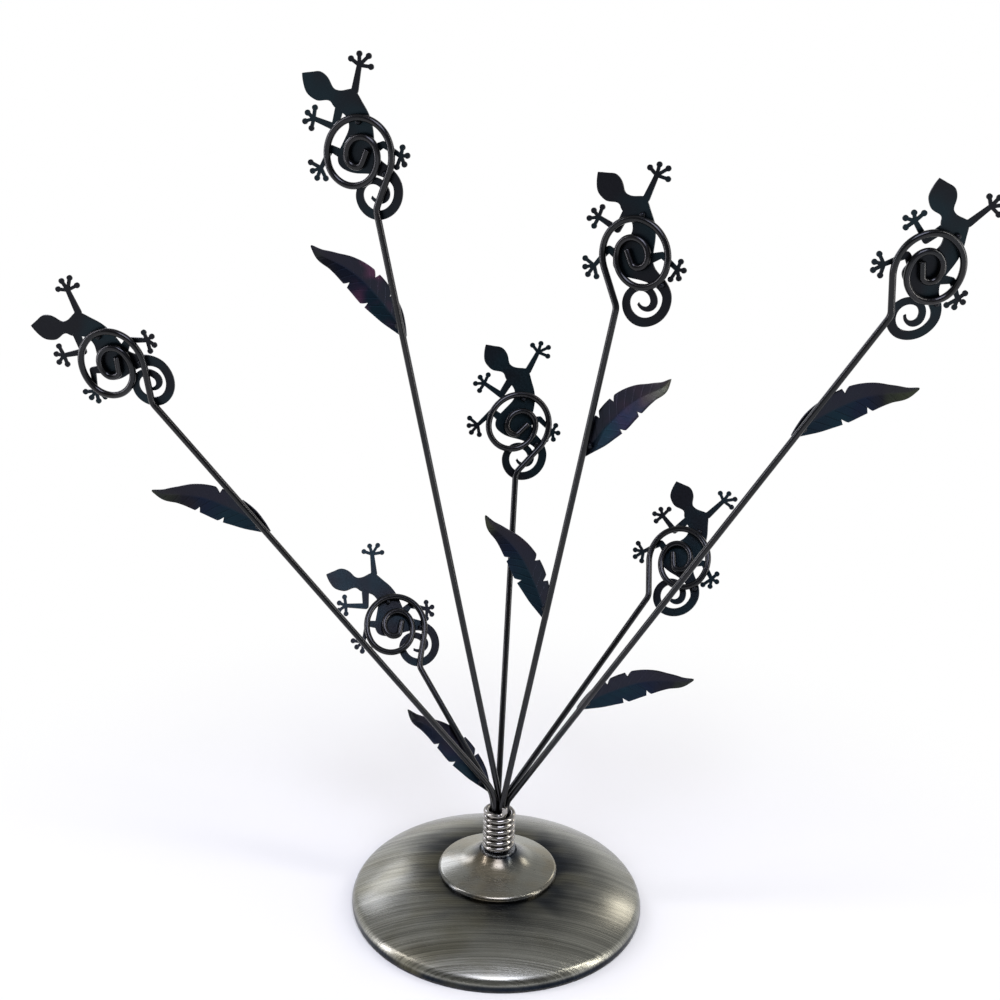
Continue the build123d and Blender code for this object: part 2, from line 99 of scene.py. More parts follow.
# Each leaf: its stem, its foot as a share of the reach, its angle from the stem and its tilt in
# degrees, and how much plum its heat tint has
LEAVES = {
    "1": (1, 0.673, 32.0, 3.0, 0.05),
    "2": (2, 0.804, 36.0, 3.0, 0.7),
    "4_upper": (4, 0.724, -35.0, 3.0, 0.1),
    "4_lower": (4, 0.394, 44.0, 3.0, 0.05),
    "5_upper": (5, 0.776, -34.0, 3.0, 0.0),
    "5_lower": (5, 0.208, -41.0, 3.0, 0.0),
    "7": (7, -0.020, 17.0, 5.0, 0.05),
}

# The wide shell bends from its shoulder straight into its crown
NO_FLANK = 0

# Points on a shell's two arcs
SHOULDER_STEPS = 14
CROWN_STEPS = 32

# Size of the map of the brushed lines, and how much of a point's height it adds to its depth
BRUSH_MAP_SIZE = 0.1
BRUSH_DRAPE = 0.35

# Spiral clip, as shares of its width
ENTRY_RUN_SHARE = 0.574
ENTRY_BEND_SHARE = 0.586
QUARTER_SHARES = [0.466, 0.534, 0.3665, 0.410, 0.223, 0.247, 0.139]
EYE_BEND_SHARE = 0.084
TAIL_SHARE = 0.215

# Leaf, as shares of its length: places along it, and there half its width and the bow and the curl
# of its midrib; where its notches are on each side, their depth, and how far they reach towards
# the foot and the tip; the part that rounds off at the tip, and the least half width
PLACE_SHARES = [0.0, 0.08, 0.18, 0.30, 0.42, 0.55, 0.68, 0.80, 0.90, 1.0]
WIDTH_SHARES = [0.014, 0.055, 0.098, 0.125, 0.140, 0.134, 0.110, 0.072, 0.048, 0.006]
BOW_SHARES = [0.0, 0.022, 0.043, 0.060, 0.069, 0.074, 0.058, 0.026, -0.006, 0.0]
CURL_SHARES = [0.0, 0.0, 0.0, 0.006, 0.015, 0.030, 0.050, 0.076, 0.105, 0.140]
NOTCH_SHARES = {1: [0.312, 0.490], -1: [0.388, 0.614]}
NOTCH_DEPTH_SHARE = 0.045
NOTCH_NEAR_SHARE = 0.008
NOTCH_FAR_SHARE = 0.040
TIP_SHARE = 0.012
THINNEST_SHARE = 0.002

# How a notch's long side curves, how far the veins slant, and how far apart they are
NOTCH_CURVE = 1.3
VEIN_SLANT = 0.9
VEIN_SPACING_SHARE = 0.085

# Points across each half of a leaf: on its flat part, as shares of that, and round its edge, in
# degrees
FLAT_SHARES = (0.06, 0.3, 0.6, 0.85)
EDGE_TURNS = (0, 30, 60, 90)

# The heat tint from the leaf's foot to its tip
LEAF_TINTS = [
    (0.0, "0e1c2b"),
    (0.3, "0c2431"),
    (0.55, "101a30"),
    (0.8, "1b1c26"),
    (1.0, "34392d"),
]

# Width in millimetres of the film behind the lens
FILM_WIDTH = 36

# Each lamp: its place, its target, its width and height, the setting of its power and its share of
# that, and its colour
LAMPS = {
    "overhead_softbox": ((0.05, -0.5, 0.95), (0, 0, 0), (0.5, 0.45), "key_level", 1, "e9ebff"),
    "left_strip": ((-0.75, -0.1, 0.5), (0, 0, 0.5), (0.07, 1.0), "side_level", 1, "fbf7ff"),
    "right_strip": ((0.75, -0.2, 0.5), (0, 0, 0.5), (0.07, 1.0), "side_level", 1, "fffaf0"),
    "rear_left_box": ((-0.65, 0.95, 0.62), (0, 0, 0), (0.6, 0.3), "rear_level", 1, "eef0ff"),
    "rear_right_box": ((0.8, 0.8, 0.6), (0, 0, 0), (0.25, 0.3), "rear_level", 0.5, "fff6e8"),
}


class FootSettings(PropertyGroup):
    """Sizes of the two pressed shells."""

    sheet: FloatProperty(
        name="Shell sheet",
        description="Thickness of the wide shell",
        default=1.0 * MM,
        unit="LENGTH",
    )
    rim_band: FloatProperty(
        name="Rim band", description="Upright band at the rim", default=0.8 * MM, unit="LENGTH"
    )
    shoulder_radius: FloatProperty(
        name="Shoulder radius", description="Round above the band", default=4.8 * MM, unit="LENGTH"
    )
    shoulder_turn: FloatProperty(
        name="Shoulder turn",
        description="Turn of that round",
        default=math.radians(58),
        unit="ROTATION",
    )
    crown_radius: FloatProperty(
        name="Crown radius",
        description="Radius of the flat crown",
        default=25.0 * MM,
        unit="LENGTH",
    )
    cap_sheet: FloatProperty(
        name="Cap sheet",
        description="Thickness of the centre shell",
        default=0.9 * MM,
        unit="LENGTH",
    )
    cap_band: FloatProperty(
        name="Cap band",
        description="Upright band of the centre shell",
        default=0.4 * MM,
        unit="LENGTH",
    )
    cap_shoulder_radius: FloatProperty(
        name="Cap shoulder",
        description="Round of the centre shell",
        default=2.0 * MM,
        unit="LENGTH",
    )
    cap_shoulder_turn: FloatProperty(
        name="Cap turn",
        description="Turn of that round",
        default=math.radians(74),
        unit="ROTATION",
    )
    cap_flank: FloatProperty(
        name="Cap flank",
        description="Straight flank below the flare",
        default=7.906 * MM,
        unit="LENGTH",
    )
    neck_radius: FloatProperty(
        name="Neck radius", description="Radius of the neck", default=7.75 * MM, unit="LENGTH"
    )
    hole_radius: FloatProperty(
        name="Bolt hole",
        description="Radius of the holes for the bolt",
        default=3.2 * MM,
        unit="LENGTH",
    )
    segments: IntProperty(
        name="Segments", description="Faces round each shell", default=192, min=12
    )


class WireSettings(PropertyGroup):
    """Sizes of the stems' wire and of the wound collar."""

    diameter: FloatProperty(
        name="Stem wire",
        description="Diameter of the stems' wire",
        default=2.5 * MM,
        unit="LENGTH",
    )
    bend_rise: FloatProperty(
        name="Bend rise",
        description="From the flange to the bends",
        default=19.863 * MM,
        unit="LENGTH",
    )
    clip_width: FloatProperty(
        name="Clip width", description="Width of a spiral clip", default=25.1 * MM, unit="LENGTH"
    )
    kink_radius: FloatProperty(
        name="Kink radius", description="Bend below a clip", default=5.0 * MM, unit="LENGTH"
    )
    kink_turn: FloatProperty(
        name="Kink turn",
        description="Turn of that bend",
        default=math.radians(37.5),
        unit="ROTATION",
    )
    eye_turn: FloatProperty(
        name="Eye turn",
        description="Last turn of a clip",
        default=math.radians(50),
        unit="ROTATION",
    )
    end_round: FloatProperty(
        name="End round", description="Round of a wire's cut end", default=0.3 * MM, unit="LENGTH"
    )
    sides: IntProperty(name="Sides", description="Faces round a wire", default=20, min=6)
    collar_wire: FloatProperty(
        name="Collar wire",
        description="Diameter of the collar's wire",
        default=2.3 * MM,
        unit="LENGTH",
    )
    collar_radius: FloatProperty(
        name="Collar radius",
        description="Centre line of the turns",
        default=5.455 * MM,
        unit="LENGTH",
    )
    collar_seat: FloatProperty(
        name="Collar seat",
        description="From flange to the first turn",
        default=1.288 * MM,
        unit="LENGTH",
    )
    collar_pitch: FloatProperty(
        name="Collar pitch", description="Rise of each turn", default=2.6 * MM, unit="LENGTH"
    )
    collar_turns: FloatProperty(
        name="Collar turns", description="Turns of the collar", default=6.25
    )
    collar_end: FloatProperty(
        name="Collar end",
        description="Straight wire at each end",
        default=2.15 * MM,
        unit="LENGTH",
    )
    collar_tip_radius: FloatProperty(
        name="Collar tip", description="Bend of the standing end", default=2.2 * MM, unit="LENGTH"
    )


class PlateSettings(PropertyGroup):
    """Sizes of the stamped geckos and leaves, and of the braze beads."""

    gecko_edge: FloatProperty(
        name="Gecko edge", description="Round of a gecko's edges", default=0.16 * MM, unit="LENGTH"
    )
    leaf_length: FloatProperty(
        name="Leaf length", description="Foot to tip", default=46.5 * MM, unit="LENGTH"
    )
    leaf_sheet: FloatProperty(
        name="Leaf sheet", description="Thickness of a leaf", default=0.8 * MM, unit="LENGTH"
    )
    leaf_gap: FloatProperty(
        name="Leaf gap",
        description="From a wire to the leaf behind",
        default=0.25 * MM,
        unit="LENGTH",
    )
    leaf_fold: FloatProperty(
        name="Leaf fold",
        description="Lift of the outer half",
        default=math.radians(14),
        unit="ROTATION",
    )
    leaf_edge: FloatProperty(
        name="Leaf edge", description="Round of a leaf's edges", default=0.2 * MM, unit="LENGTH"
    )
    bead_radius: FloatProperty(
        name="Bead radius", description="Radius of a braze bead", default=1.12 * MM, unit="LENGTH"
    )
    bead_ripple: FloatProperty(
        name="Bead ripple", description="Unevenness of a bead", default=0.16 * MM, unit="LENGTH"
    )


def hex_colour(text):
    """Turn a colour of the screen, written in hex, into linear red, green and blue."""
    values = [int(text[place : place + 2], 16) / 255 for place in (0, 2, 4)]
    return [
        value / 12.92 if value <= 0.04045 else ((value + 0.055) / 1.055) ** 2.4 for value in values
    ]


class FinishSettings(PropertyGroup):
    """Main colours of the finishes."""

    pewter: FloatVectorProperty(
        name="Pewter", description="Rubbed plate", subtype="COLOR", default=hex_colour("96968e")
    )
    # Painted shade: this dark navy is painted into both plates as shade and reflection, round the centre shell and
    # the neck and along the rims
    painted_shade: FloatVectorProperty(
        name="Patina",
        description="Dark of the plate",
        subtype="COLOR",
        default=hex_colour("20262f"),
    )
    nickel: FloatVectorProperty(
        name="Nickel", description="Bright collar", subtype="COLOR", default=hex_colour("a3a09c")
    )
    wire: FloatVectorProperty(
        name="Wire", description="Blackened wire", subtype="COLOR", default=hex_colour("1e1e21")
    )
    lacquer: FloatVectorProperty(
        name="Lacquer", description="Geckos", subtype="COLOR", default=hex_colour("13151c")
    )
    plum: FloatVectorProperty(
        name="Plum", description="Leaves' warm tint", subtype="COLOR", default=hex_colour("54304a")
    )


class StageSettings(PropertyGroup):
    """The camera's place and the levels of the lamps."""

    distance: FloatProperty(
        name="Distance", description="Camera in front of the stand", default=0.5, unit="LENGTH"
    )
    height: FloatProperty(
        name="Height", description="Camera above the table", default=0.3492, unit="LENGTH"
    )
    pitch: FloatProperty(
        name="Pitch", description="Downward look", default=math.radians(19), unit="ROTATION"
    )
    yaw: FloatProperty(
        name="Yaw", description="Sideways look", default=math.radians(-0.49), unit="ROTATION"
    )
    roll: FloatProperty(
        name="Roll", description="Lean of the view", default=math.radians(2), unit="ROTATION"
    )
    lens: FloatProperty(name="Lens", description="Focal length in millimetres", default=50.4)
    key_level: FloatProperty(name="Key lamp", description="Power in watts", default=5.5)
    side_level: FloatProperty(name="Side lamps", description="Power in watts", default=3.2)
    rear_level: FloatProperty(name="Rear lamps", description="Power in watts", default=2.0)


def set_inputs(tree, node, inputs):
    """Give a node's inputs, by name or else in the order of the live ones, a value or a link from
    a socket or from another node's first live output."""
    if isinstance(inputs, dict):
        pairs = [(node.inputs[name], value) for name, value in inputs.items()]
    else:
        pairs = zip([socket for socket in node.inputs if socket.enabled], inputs)
    for socket, value in pairs:
        if isinstance(value, bpy.types.Node):
            value = next(output for output in value.outputs if output.enabled)
        if isinstance(value, bpy.types.NodeSocket):
            tree.links.new(value, socket)
        else:
            socket.default_value = (*value, 1.0) if socket.type == "RGBA" else value


def add_node(tree, kind, inputs=(), **settings):
    """Add a node with its settings and its inputs."""
    node = tree.nodes.new(kind)
    for name, value in settings.items():
        setattr(node, name, value)
    set_inputs(tree, node, inputs)
    return node


def new_material(name):
    """A material with its shader and output; returns it with its tree."""
    material = bpy.data.materials.new(name)
    material.use_nodes = True
    return material, material.node_tree


def dress_shader(tree, inputs, pattern, depth):
    """Set the shader's inputs, and let a pattern stand up by a depth in millimetres."""
    raised = {"Height": pattern, "Distance": depth * MM, "Strength": 1.0}
    bump = add_node(tree, "ShaderNodeBump", raised)
    set_inputs(tree, tree.nodes["Principled BSDF"], {**inputs, "Normal": bump})


def grain(tree, place, sizes, detail=3.0, seed=0.0):
    """Noise from 0 to 1 whose grains have these sizes in millimetres along the three axes."""
    scale = [1 / (size * MM) for size in sizes]
    shift = {"Vector": place, "Scale": scale, "Location": (seed, seed, seed)}
    mapped = add_node(tree, "ShaderNodeMapping", shift)
    noise = {"Vector": mapped, "Scale": 1.0, "Detail": detail, "Roughness": 0.55}
    return add_node(tree, "ShaderNodeTexNoise", noise)


def distance_from_axis(tree, place):
    """How far a place is from the stand's upright axis."""
    flat = add_node(
        tree, "ShaderNodeVectorMath", [place, (1.0, 1.0, 0.0)], operation="MULTIPLY"
    )
    return add_node(tree, "ShaderNodeVectorMath", [flat], operation="LENGTH")


def brushed_plate(settings):
    """Antique pewter plate on pressed steel, brushed on a belt: lines run along X. A wide dark band
    round the centre shell is painted shade and reflection, and a dark line along the rim's edge is
    painted shade. The lines are drawn coarser than real ones, so that they show."""
    material, tree = new_material("brushed_antique_pewter_plate")
    place = add_node(tree, "ShaderNodeTexCoord").outputs["Object"]
    lines = grain(tree, place, (70, 0.5, 400), 4.0)
    bands = grain(tree, place, (90, 2.4, 400), 3.0, 5.0)
    scratches = grain(tree, place, (14, 0.22, 400), 2.0, 3.0)
    clouds = grain(tree, place, (30, 22, 30), 2.0, 7.0)
    radius = distance_from_axis(tree, place)
    # Painted shade and reflection: a wide dark band, about 23 to 47 mm from the axis, round the centre shell
    wander = add_node(tree, "ShaderNodeMapRange", [clouds, 0.3, 0.7, -5 * MM, 5 * MM], **SOFT)
    reach = add_node(tree, "ShaderNodeMath", [radius, wander], operation="ADD")
    clear_of_painted_shade = add_node(tree, "ShaderNodeMapRange", [reach, 23 * MM, 47 * MM], **SOFT)
    tone = add_node(tree, "ShaderNodeMix", [clear_of_painted_shade, settings.painted_shade, settings.pewter], **COLOUR)
    # Painted shade: the outermost 0.3 mm, the upright rim band, is darkened as the line of shade along the rim
    edge = add_node(tree, "ShaderNodeMapRange", [radius, 59.7 * MM, 60 * MM], **SOFT)
    tone = add_node(tree, "ShaderNodeMix", [edge, tone, settings.painted_shade], **COLOUR)
    olive = add_node(tree, "ShaderNodeMapRange", [clouds, 0.45, 0.7, 0.0, 0.5], **SOFT)
    tone = add_node(tree, "ShaderNodeMix", [olive, tone, hex_colour("6f6a50")], **COLOUR)
    streaks = add_node(tree, "ShaderNodeMath", [lines, bands], operation="ADD")
    shade = add_node(tree, "ShaderNodeMapRange", [streaks, 0.7, 1.3, 0.6, 1.05], **SOFT)
    tone = add_node(tree, "ShaderNodeMix", [1.0, tone, shade], blend_type="MULTIPLY", **COLOUR)
    inputs = {
        "Metallic": 1.0,
        "Anisotropic": 0.4,
        "Base Color": tone,
        "Roughness": add_node(tree, "ShaderNodeMapRange", [lines, 0.25, 0.75, 0.2, 0.34], **SOFT),
        "Tangent": add_node(tree, "ShaderNodeTangent", **BRUSH_WAY),
    }
    grooves = add_node(tree, "ShaderNodeMath", [lines, scratches], operation="ADD")
    dress_shader(tree, inputs, grooves, 0.012)
    return material


def buffed_plate(settings):
    """The same plate on the centre shell, buffed on a wheel: smoother, with painted shade and
    reflection round the neck and along its edge, and a few dark specks."""
    material, tree = new_material("buffed_antique_pewter_plate")
    place = add_node(tree, "ShaderNodeTexCoord").outputs["Object"]
    lines = grain(tree, place, (30, 0.6, 400), 3.0, 11.0)
    clouds = grain(tree, place, (14, 14, 14), 2.0, 5.0)
    specks = grain(tree, place, (0.8, 0.8, 0.8), 1.0, 2.0)
    radius = distance_from_axis(tree, place)
    # Painted shade and reflection: darker within about 7 to 15 mm of the axis, round the neck
    clear_of_painted_shade = add_node(tree, "ShaderNodeMapRange", [radius, 7 * MM, 15 * MM], **SOFT)
    tone = add_node(tree, "ShaderNodeMix", [clear_of_painted_shade, settings.painted_shade, settings.pewter], **COLOUR)
    # Painted shade: darker in the outer 2 mm, where the centre shell meets the crown
    edge = add_node(tree, "ShaderNodeMapRange", [radius, 23 * MM, 25 * MM], **SOFT)
    tone = add_node(tree, "ShaderNodeMix", [edge, tone, settings.painted_shade], **COLOUR)
    warm = add_node(tree, "ShaderNodeMapRange", [clouds, 0.4, 0.7, 0.0, 0.5], **SOFT)
    tone = add_node(tree, "ShaderNodeMix", [warm, tone, hex_colour("8f8268")], **COLOUR)
    spots = add_node(tree, "ShaderNodeMapRange", [specks, 0.72, 0.78], **SOFT)
    tone = add_node(tree, "ShaderNodeMix", [spots, tone, hex_colour("26282b")], **COLOUR)
    inputs = {
        "Metallic": 1.0,
        "Anisotropic": 0.2,
        "Base Color": tone,
        "Roughness": add_node(tree, "ShaderNodeMapRange", [lines, 0.25, 0.75, 0.18, 0.3], **SOFT),
        "Tangent": add_node(tree, "ShaderNodeTangent", **BRUSH_WAY),
    }
    dress_shader(tree, inputs, lines, 0.003)
    return material


def nickel_wire(settings):
    """Bright nickel plate on spring wire: a mirror with faint lines from the drawing die."""
    material, tree = new_material("bright_nickel_plated_spring_wire")
    place = add_node(tree, "ShaderNodeTexCoord").outputs["Object"]
    along = add_node(tree, "ShaderNodeAttribute", attribute_name=WIRE_PLACE).outputs["Vector"]
    lines = grain(tree, along, (250, 250, 12), 3.0, 1.0)
    clouds = grain(tree, place, (3, 3, 3), 2.0)
    dull = add_node(tree, "ShaderNodeMapRange", [clouds, 0.35, 0.7, 0.0, 0.7], **SOFT)
    tone = add_node(tree, "ShaderNodeMix", [dull, settings.nickel, hex_colour("6b6966")], **COLOUR)
    inputs = {
        "Metallic": 1.0,
        "Base Color": tone,
        "Roughness": add_node(tree, "ShaderNodeMapRange", [lines, 0.3, 0.7, 0.1, 0.22], **SOFT),
    }
    dress_shader(tree, inputs, lines, 0.006)
    return material


def blackened_wire(settings):
    """Steel wire, blackened and waxed: near black with lines from the drawing die along it, and
    lighter steel where the black is worn through."""
    material, tree = new_material("blackened_waxed_steel_wire")
    place = add_node(tree, "ShaderNodeTexCoord").outputs["Object"]
    along = add_node(tree, "ShaderNodeAttribute", attribute_name=WIRE_PLACE).outputs["Vector"]
    lines = grain(tree, along, (280, 280, 25), 4.0)
    clouds = grain(tree, place, (18, 18, 18), 3.0, 4.0)
    cold = add_node(tree, "ShaderNodeMapRange", [clouds, 0.35, 0.65], **SOFT)
    tone = add_node(tree, "ShaderNodeMix", [cold, settings.wire, hex_colour("171a1f")], **COLOUR)
    worn = add_node(tree, "ShaderNodeMapRange", [lines, 0.5, 0.75, 0.0, 0.5], **SOFT)
    tone = add_node(tree, "ShaderNodeMix", [worn, tone, hex_colour("45444a")], **COLOUR)
    inputs = {
        "Metallic": 1.0,
        "Coat Weight": 0.45,
        "Coat Roughness": 0.12,
        "Base Color": tone,
        "Roughness": add_node(tree, "ShaderNodeMapRange", [lines, 0.3, 0.7, 0.24, 0.38], **SOFT),
    }
    dress_shader(tree, inputs, lines, 0.01)
    return material


def gecko_lacquer(settings):
    """Stamped steel sheet under thin blue-black lacquer: satin, with a teal cast in places and the
    fine orange peel of sprayed lacquer."""
    material, tree = new_material("blue_black_lacquered_steel_sheet")
    place = add_node(tree, "ShaderNodeTexCoord").outputs["Object"]
    clouds = grain(tree, place, (22, 22, 22), 2.0, 8.0)
    peel = grain(tree, place, (0.7, 0.7, 0.7), 2.0)
    teal = add_node(tree, "ShaderNodeMapRange", [clouds, 0.42, 0.64], **SOFT)
    both = [teal, settings.lacquer, hex_colour("0f1f27")]
    tone = add_node(tree, "ShaderNodeMix", both, **COLOUR)
    inputs = {
        "Metallic": 0.9,
        "Coat Weight": 0.12,
        "Coat Roughness": 0.3,
        "Base Color": tone,
        "Roughness": add_node(tree, "ShaderNodeMapRange", [peel, 0.2, 0.8, 0.34, 0.46], **SOFT),
    }
    dress_shader(tree, inputs, peel, 0.01)
    return material


def leaf_tint(settings):
    """Steel sheet tinted by a flame and lacquered: teal and navy, then plum, and straw at the tip,
    with faint pressed veins."""
    material, tree = new_material("flame_tinted_steel_sheet")
    place = add_node(tree, "ShaderNodeTexCoord").outputs["Object"]
    carried = add_node(tree, "ShaderNodeAttribute", attribute_name=BLADE_PLACE).outputs["Vector"]
    along, across, flamed = add_node(tree, "ShaderNodeSeparateXYZ", [carried]).outputs
    clouds = grain(tree, place, (16, 16, 16), 2.0, 6.0)
    wander = add_node(tree, "ShaderNodeMapRange", [clouds, 0.2, 0.8, -0.2, 0.2], **SOFT)
    heat = add_node(tree, "ShaderNodeMath", [along, wander], operation="ADD")
    ramp = add_node(tree, "ShaderNodeValToRGB", [heat])
    stops = ramp.color_ramp.elements
    for number, (where, colour) in enumerate(LEAF_TINTS):
        stop = stops[number] if number < 2 else stops.new(where)
        stop.position = where
        stop.color = (*hex_colour(colour), 1.0)
    # Painted light and shade: the half on one side of the midrib takes a lighter, greyer tone, as the fold's two
    # faces catch the light differently
    inner = add_node(tree, "ShaderNodeMapRange", [across, -0.01, 0.02, 0.0, 0.75], **SOFT)
    tone = add_node(tree, "ShaderNodeMix", [inner, ramp, hex_colour("23222c")], **COLOUR)
    bloom = add_node(tree, "ShaderNodeMapRange", [clouds, 0.5, 0.66], **SOFT)
    plum = add_node(tree, "ShaderNodeMath", [bloom, flamed], operation="MULTIPLY")
    tone = add_node(tree, "ShaderNodeMix", [plum, tone, settings.plum], **COLOUR)
    # Veins slant from the midrib towards the tip
    aside = add_node(tree, "ShaderNodeMath", [across], operation="ABSOLUTE")
    back = add_node(tree, "ShaderNodeMath", [aside, VEIN_SLANT], operation="MULTIPLY")
    slant = add_node(tree, "ShaderNodeMath", [along, back], operation="SUBTRACT")
    turns = [slant, math.tau / VEIN_SPACING_SHARE]
    phase = add_node(tree, "ShaderNodeMath", turns, operation="MULTIPLY")
    wave = add_node(tree, "ShaderNodeMath", [phase], operation="SINE")
    veins = add_node(tree, "ShaderNodeMapRange", [wave, 0.75, 1.0], **SOFT)
    inputs = {
        "Metallic": 0.95,
        "Coat Weight": 0.12,
        "Coat Roughness": 0.22,
        "Base Color": tone,
        "Roughness": add_node(tree, "ShaderNodeMapRange", [clouds, 0.3, 0.7, 0.26, 0.4], **SOFT),
    }
    dress_shader(tree, inputs, veins, 0.05)
    return material


def plain_metal(name, colour, roughness, size, depth):
    """A bare or plated metal with an even grain, its size and depth in millimetres."""
    material, tree = new_material(name)
    place = add_node(tree, "ShaderNodeTexCoord").outputs["Object"]
    pattern = grain(tree, place, (size, size, size), 3.0)
    light = hex_colour(colour)
    dark = [value * 0.6 for value in light]
    share = add_node(tree, "ShaderNodeMapRange", [pattern, 0.3, 0.7], **SOFT)
    rough = [pattern, 0.3, 0.7, roughness * 0.8, roughness * 1.2]
    inputs = {
        "Metallic": 1.0,
        "Base Color": add_node(tree, "ShaderNodeMix", [share, dark, light], **COLOUR),
        "Roughness": add_node(tree, "ShaderNodeMapRange", rough, **SOFT),
    }
    dress_shader(tree, inputs, pattern, depth)
    return material


def pressed_felt():
    """Pressed wool felt: dull and soft, with short fibres that catch the light at a glance."""
    material, tree = new_material("pressed_wool_felt")
    place = add_node(tree, "ShaderNodeTexCoord").outputs["Object"]
    fibres = grain(tree, place, (0.5, 1.4, 0.5), 4.0)
    clouds = grain(tree, place, (9, 9, 9), 3.0, 2.0)
    share = add_node(tree, "ShaderNodeMapRange", [fibres, 0.3, 0.7], **SOFT)
    both = [share, hex_colour("17181a"), hex_colour("2c2d30")]
    tone = add_node(tree, "ShaderNodeMix", both, **COLOUR)
    faded = add_node(tree, "ShaderNodeMapRange", [clouds, 0.3, 0.7, 0.0, 0.4], **SOFT)
    tone = add_node(tree, "ShaderNodeMix", [faded, tone, hex_colour("1f2226")], **COLOUR)
    inputs = {
        "Roughness": 0.95,
        "Sheen Weight": 0.4,
        "Sheen Roughness": 0.5,
        "Base Color": tone,
    }
    dress_shader(tree, inputs, fibres, 0.1)
    return material


def given_inputs(tree, kinds):
    """Give a tree its geometry, its named inputs and its output; returns what it is given."""
    tree.interface.new_socket("Geometry", in_out="INPUT", socket_type="NodeSocketGeometry")
    for name, kind in kinds.items():
        tree.interface.new_socket(name, in_out="INPUT", socket_type=f"NodeSocket{kind}")
    tree.interface.new_socket("Geometry", in_out="OUTPUT", socket_type="NodeSocketGeometry")
    return add_node(tree, "NodeGroupInput").outputs


def end_tree(tree, geometry, finish):
    """End a tree with real geometry in its finish."""
    real = add_node(tree, "GeometryNodeRealizeInstances", [geometry])
    dressed = add_node(tree, "GeometryNodeSetMaterial", {"Geometry": real, "Material": finish})
    add_node(tree, "NodeGroupOutput", {"Geometry": dressed})


def turned_shell_tree():
    """A closed section, drawn from the hole's wall outwards, turned round the stand's axis."""
    tree = bpy.data.node_groups.new("turned_shell", "GeometryNodeTree")
    given = given_inputs(tree, {"Segments": "Int", "Hole Radius": "Float", "Finish": "Material"})
    section = add_node(tree, "GeometryNodeMeshToCurve", {"Mesh": given["Geometry"]})
    sizes = {"Resolution": given["Segments"], "Radius": given["Hole Radius"]}
    ring = add_node(tree, "GeometryNodeCurvePrimitiveCircle", sizes)
    level = add_node(tree, "GeometryNodeSetCurveNormal", {"Curve": ring}, mode="Z_UP")
    sweep = {"Curve": level, "Profile Curve": section}
    end_tree(tree, add_node(tree, "GeometryNodeCurveToMesh", sweep), given["Finish"])
    return tree


def round_wire_tree():
    """A round wire along a path, with rounded ends, that carries its place round and along it."""
    tree = bpy.data.node_groups.new("round_wire", "GeometryNodeTree")
    kinds = {"Diameter": "Float", "Sides": "Int", "End Round": "Float", "Finish": "Material"}
    given = given_inputs(tree, kinds)
    path = add_node(tree, "GeometryNodeMeshToCurve", {"Mesh": given["Geometry"]})
    even = add_node(tree, "GeometryNodeSetCurveNormal", {"Curve": path}, mode="MINIMUM_TWIST")
    # The wire's scale: near an end it follows a quarter circle, whose depth is the end's round
    spot = add_node(tree, "GeometryNodeSplineParameter").outputs["Length"]
    whole = add_node(tree, "GeometryNodeSplineLength").outputs["Length"]
    left = add_node(tree, "ShaderNodeMath", [whole, spot], operation="SUBTRACT")
    to_end = add_node(tree, "ShaderNodeMath", [spot, left], operation="MINIMUM")
    part = add_node(tree, "ShaderNodeMath", [to_end, given["End Round"]], operation="DIVIDE")
    part = add_node(tree, "ShaderNodeMath", [part, 1.0], operation="MINIMUM")
    short = add_node(tree, "ShaderNodeMath", [1.0, part], operation="SUBTRACT")
    square = add_node(tree, "ShaderNodeMath", [short, short], operation="MULTIPLY")
    rest = add_node(tree, "ShaderNodeMath", [1.0, square], operation="SUBTRACT")
    arch = add_node(tree, "ShaderNodeMath", [rest], operation="SQRT")
    drop = add_node(tree, "ShaderNodeMath", [1.0, arch], operation="SUBTRACT")
    radius = add_node(tree, "ShaderNodeMath", [given["Diameter"], 0.5], operation="MULTIPLY")
    share = add_node(tree, "ShaderNodeMath", [given["End Round"], radius], operation="DIVIDE")
    loss = add_node(tree, "ShaderNodeMath", [share, drop], operation="MULTIPLY")
    scale = add_node(tree, "ShaderNodeMath", [1.0, loss], operation="SUBTRACT")
    # The path carries how far along a point is, and the section which way it lies
    stored = {"Geometry": even, "Name": "along", "Value": spot}
    line = add_node(tree, "GeometryNodeStoreNamedAttribute", stored, **NUMBER_ON_POINT)
    sizes = {"Resolution": given["Sides"], "Radius": radius}
    ring = add_node(tree, "GeometryNodeCurvePrimitiveCircle", sizes)
    spoke = add_node(tree, "GeometryNodeInputPosition")
    outward = add_node(tree, "ShaderNodeVectorMath", [spoke], operation="NORMALIZE")
    stored = {"Geometry": ring, "Name": "around", "Value": outward}
    section = add_node(tree, "GeometryNodeStoreNamedAttribute", stored, **VECTOR_ON_POINT)
    sweep = {"Curve": line, "Profile Curve": section, "Scale": scale, "Fill Caps": True}
    swept = add_node(tree, "GeometryNodeCurveToMesh", sweep)
    around = add_node(
        tree, "GeometryNodeInputNamedAttribute", {"Name": "around"}, data_type="FLOAT_VECTOR"
    )
    along = add_node(tree, "GeometryNodeInputNamedAttribute", {"Name": "along"}, data_type="FLOAT")
    turn = add_node(tree, "ShaderNodeSeparateXYZ", [around]).outputs
    both = add_node(tree, "ShaderNodeCombineXYZ", [turn["X"], turn["Y"], along])
    stored = {"Geometry": swept, "Name": WIRE_PLACE, "Value": both}
    placed = add_node(tree, "GeometryNodeStoreNamedAttribute", stored, **VECTOR_ON_POINT)
    end_tree(tree, placed, given["Finish"])
    return tree


